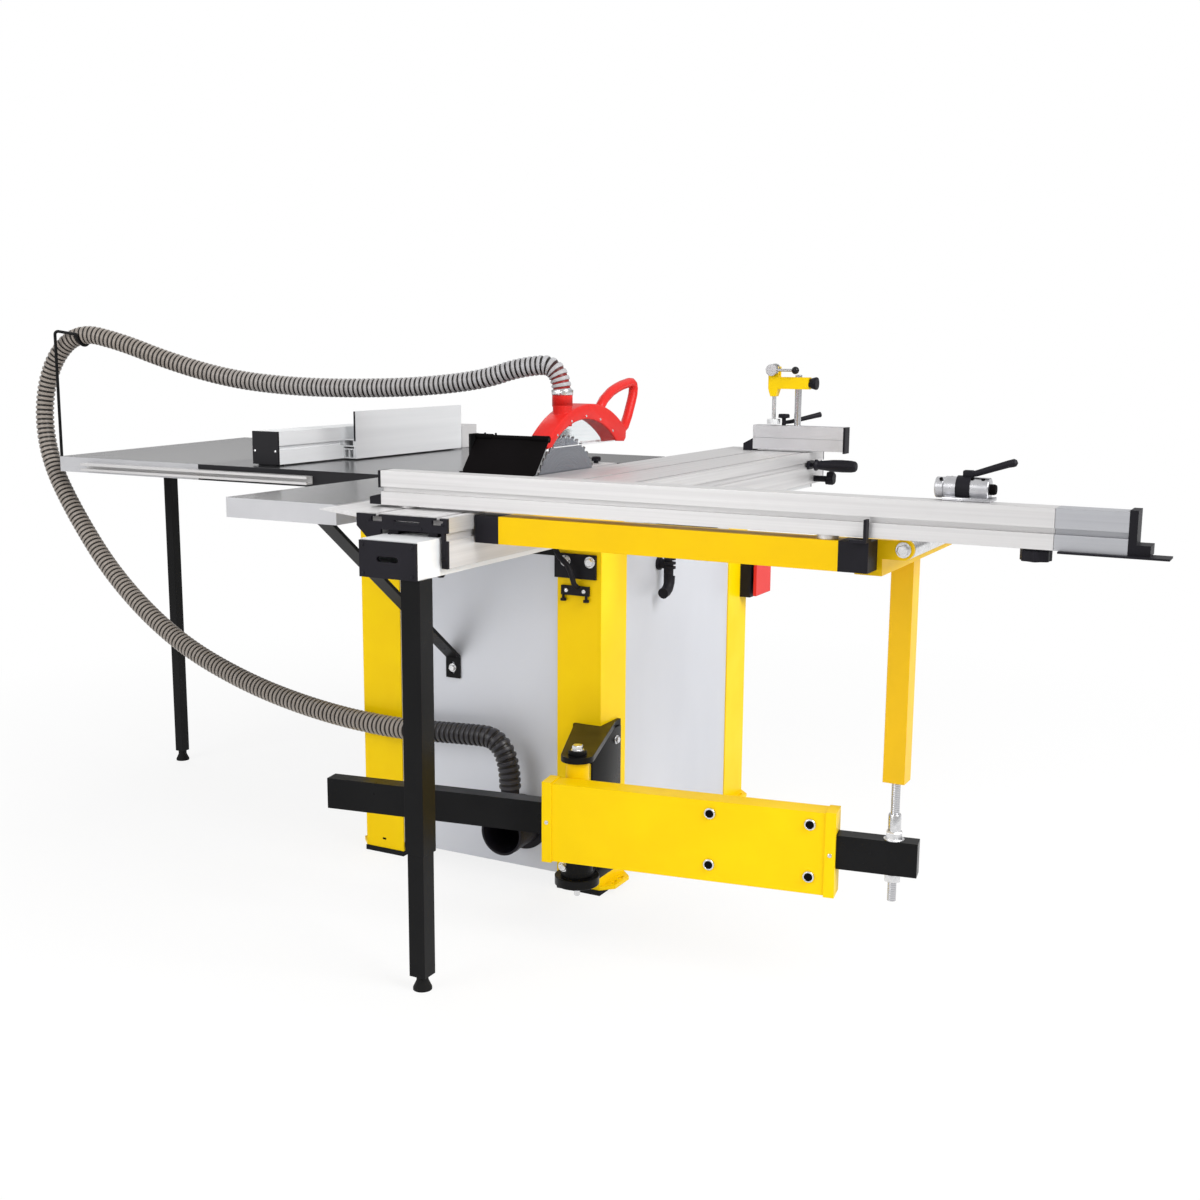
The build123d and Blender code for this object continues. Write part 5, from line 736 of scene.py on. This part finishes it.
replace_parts(piece("shoe_and_column", mesh, "shoe_and_column", "shoe"), "shoe_fence")
mesh = bmesh.new()
turn(mesh, [(0, 0), (0.006, 0), (0.006, 0.020), (0.0165, 0.022), (0.0165, 0.030), (0.014, 0.033), (0, 0.033)],
     lever_pivot, Z, 28)
rod(mesh, [(lever_pivot.x, shoe_y, 0.9580), (-0.200, -1.001, 0.9610), (-0.225, -1.034, 0.9690),
           (-0.250, -1.067, 0.9770), (-0.260, -1.080, 0.9800)], 0.0052, 0.0082)
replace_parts(piece("shoe_grip", mesh, "black_plastic", "shoe_lever"), "shoe_lever")
grip_low, grip_high = box("push_handle")
grip_y, grip_z = (grip_low.y + grip_high.y) / 2, (grip_low.z + grip_high.z) / 2
mesh = bmesh.new()
turn(mesh, [(0, 0), (0.0090, 0), (0.0165, 0.004), (0.0165, 0.008), (0.0125, 0.014), (0.0140, 0.028),
            (0.0172, 0.058), (0.0180, 0.085), (0.0172, 0.112), (0.0150, 0.124), (0.0110, 0.128), (0, 0.128)],
     Vector((grip_low.x + 0.126, grip_y, grip_z)), -X, 32)
piece("push_grip", mesh, "black_plastic", "carriage")
lock_low, lock_high = box("carriage_lock")
lock_y, lock_z = (lock_low.y + lock_high.y) / 2, (lock_low.z + lock_high.z) / 2
mesh = bmesh.new()
lobed_knob(mesh, Vector((lock_low.x + 0.012, lock_y, lock_z)), -X, 0.0205, 0.015, 5)
piece("lock_knob_grip", mesh, "black_plastic", "carriage_lock")

# The blade guard and the table insert
guard_near, guard_far = -0.0025, 0.0525
crown, hollow = (-0.120, 0.728), (-0.095, 0.739)
mesh = bmesh.new()
slab(mesh, arc(crown, 0.308, 0.085, -0.312, 30) + [(-0.3165, 0.957), (-0.3150, 0.942), (-0.3060, 0.9345),
                                                   (-0.2640, 0.9370)]
     + arc(hollow, 0.260, -0.254, 0.062, 26) + [(0.0680, 0.9400), (0.0880, 0.9370), (0.0950, 0.9430)],
     guard_near, guard_far, 0.0035)
turn(mesh, [(0, 0.985), (0.0232, 0.985), (0.0232, 1.030), (0.0248, 1.033), (0.0248, 1.0595), (0.0243, 1.0600),
            (0.0243, 1.034), (0, 1.034)], stub_centre, Z, 40)
rod(mesh, [(0.016, y, z) for y, z in ((-0.200, 1.010), (-0.207, 1.028), (-0.225, 1.043), (-0.262, 1.061),
                                      (-0.293, 1.070), (-0.325, 1.077), (-0.364, 1.0825), (-0.379, 1.0820),
                                      (-0.388, 1.0770), (-0.3915, 1.067), (-0.389, 1.052), (-0.381, 1.035),
                                      (-0.359, 0.996), (-0.341, 0.972), (-0.310, 0.957))], 0.0124)
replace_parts(piece("guard_hood", mesh, "red_plastic", "guard"), "saw_guard")
pane_front, pane_back, pane_edge = 0.058, -0.258, 0.9385
mesh = bmesh.new()
for x in (0.0005, 0.0475):
    slab(mesh, [(pane_front, pane_edge)] + arc(hollow, 0.262, 0.056, -0.254, 24) + [(pane_back, pane_edge)],
         x, x + 0.002, 0.0003)
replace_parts(piece("guard_panes", mesh, "clear_pane", "guard"), "guard_windows")
rivet_places = [((x, *spot), axis) for x, axis in ((guard_near, -X), (guard_far, X))
                for spot in arc(hollow, 0.268, 0.045, -0.240, 4)]
fasteners("guard_rivets", pan_screw, rivet_places, 0.0032, "bright_steel", "guard")
mesh = bmesh.new()
for x in (0.0003, 0.0473):
    block(mesh, (x, pane_back, 0.9372), (x + 0.0024, pane_front, 0.9396), 0.0004)
piece("pane_rims", mesh, "lit_anodised_face", "guard")
mesh = bmesh.new()
turn(mesh, [(0, 0), (0.006, 0), (0.006, 0.004), (0.012, 0.006), (0.0125, 0.014), (0.010, 0.017), (0, 0.018)],
     Vector((0.076, -0.298, table_z)), Z, 20)
piece("insert_knob", mesh, "black_plastic", "base")


# Studio
def studio():
    """Pale floor, soft lamps, a white surround for the camera and the photograph's camera."""
    scene = bpy.context.scene
    scene.view_settings.view_transform = "Standard"
    mesh = bmesh.new()
    bmesh.ops.create_grid(mesh, x_segments=1, y_segments=1, size=30.0)
    data = bpy.data.meshes.new("floor")
    mesh.to_mesh(data)
    mesh.free()
    floor = bpy.data.objects.new("floor", data)
    scene.collection.objects.link(floor)
    made, tree, shader, place = blank("pale_floor")
    shader.inputs["Base Color"].default_value = (0.9, 0.9, 0.9, 1)
    shader.inputs["Roughness"].default_value = 0.9
    light = add_node(tree, "Emission", {"Color": (1, 1, 1, 1), "Strength": 1.0})
    path = tree.nodes.new("ShaderNodeLightPath")
    seen = add_node(tree, "Math", {0: path.outputs["Is Camera Ray"], 1: path.outputs["Is Glossy Ray"]},
                    operation="MAXIMUM")
    away = add_node(tree, "VectorMath", {0: place}, operation="LENGTH").outputs["Value"]
    share = add_node(tree, "Math", {0: seen.outputs["Value"], 1: spread(tree, away, 0.84, 1.0, 1.2, 2.6)},
                     operation="MULTIPLY")
    mixed = add_node(tree, "MixShader", {0: share.outputs["Value"], 1: shader.outputs["BSDF"],
                                         2: light.outputs["Emission"]})
    tree.links.new(mixed.outputs["Shader"], tree.nodes["Material Output"].inputs["Surface"])
    data.materials.append(made)

    world = bpy.data.worlds.new("surround")
    scene.world = world
    world.use_nodes = True
    tree = world.node_tree
    path = tree.nodes.new("ShaderNodeLightPath")
    seen = add_node(tree, "Math", {0: path.outputs["Is Camera Ray"], 1: path.outputs["Is Transmission Ray"]},
                    operation="MAXIMUM")
    look = tree.nodes.new("ShaderNodeTexCoord").outputs["Generated"]
    rise = add_node(tree, "SeparateXYZ", {"Vector": look}).outputs["Z"]
    mirrored = spread(tree, rise, 0.26, 0.85, 0.0, 0.5)
    around = add_node(tree, "Mix", {0: path.outputs["Is Glossy Ray"], 2: 0.57, 3: mirrored}).outputs[0]
    strength = add_node(tree, "Math", {0: seen.outputs["Value"], 1: around},
                        operation="MAXIMUM").outputs["Value"]
    back = tree.nodes["Background"]
    back.inputs["Color"].default_value = (1, 1, 1, 1)
    tree.links.new(strength, back.inputs["Strength"])

    for name, place, aim, size, power in (("key", (-4.4, 1.2, 3.8), (0, 0, 0.5), 3.0, 240),
                                          ("fill", (1.8, 5.0, 2.6), (0.2, 0, 0.5), 3.0, 98),
                                          ("back", (4.5, -2.5, 3.6), (0, 0, 0.8), 3.0, 45)):
        lamp = bpy.data.lights.new(name, "AREA")
        lamp.size = size
        lamp.energy = power
        holder = bpy.data.objects.new(name, lamp)
        holder.location = place
        holder.rotation_euler = (Vector(aim) - Vector(place)).to_track_quat("-Z", "Y").to_euler()
        scene.collection.objects.link(holder)

    turned, drop = math.radians(camera_turn), math.radians(camera_drop)
    forward = Vector((-math.sin(turned) * math.cos(drop), math.cos(turned) * math.cos(drop), -math.sin(drop)))
    right = forward.cross(Z).normalized()
    up = right.cross(forward)
    roll = math.radians(camera_roll)
    across = right * math.cos(roll) + up * math.sin(roll)
    upright = up * math.cos(roll) - right * math.sin(roll)
    holder = bpy.data.objects.new("camera", bpy.data.cameras.new("camera"))
    holder.data.lens = camera_lens
    holder.data.sensor_width = sensor
    holder.data.clip_end = 100.0
    turned_axes = Matrix((across, upright, -forward)).transposed()
    holder.matrix_world = Matrix.Translation(camera_place - middle) @ turned_axes.to_4x4()
    scene.collection.objects.link(holder)
    scene.camera = holder


studio()
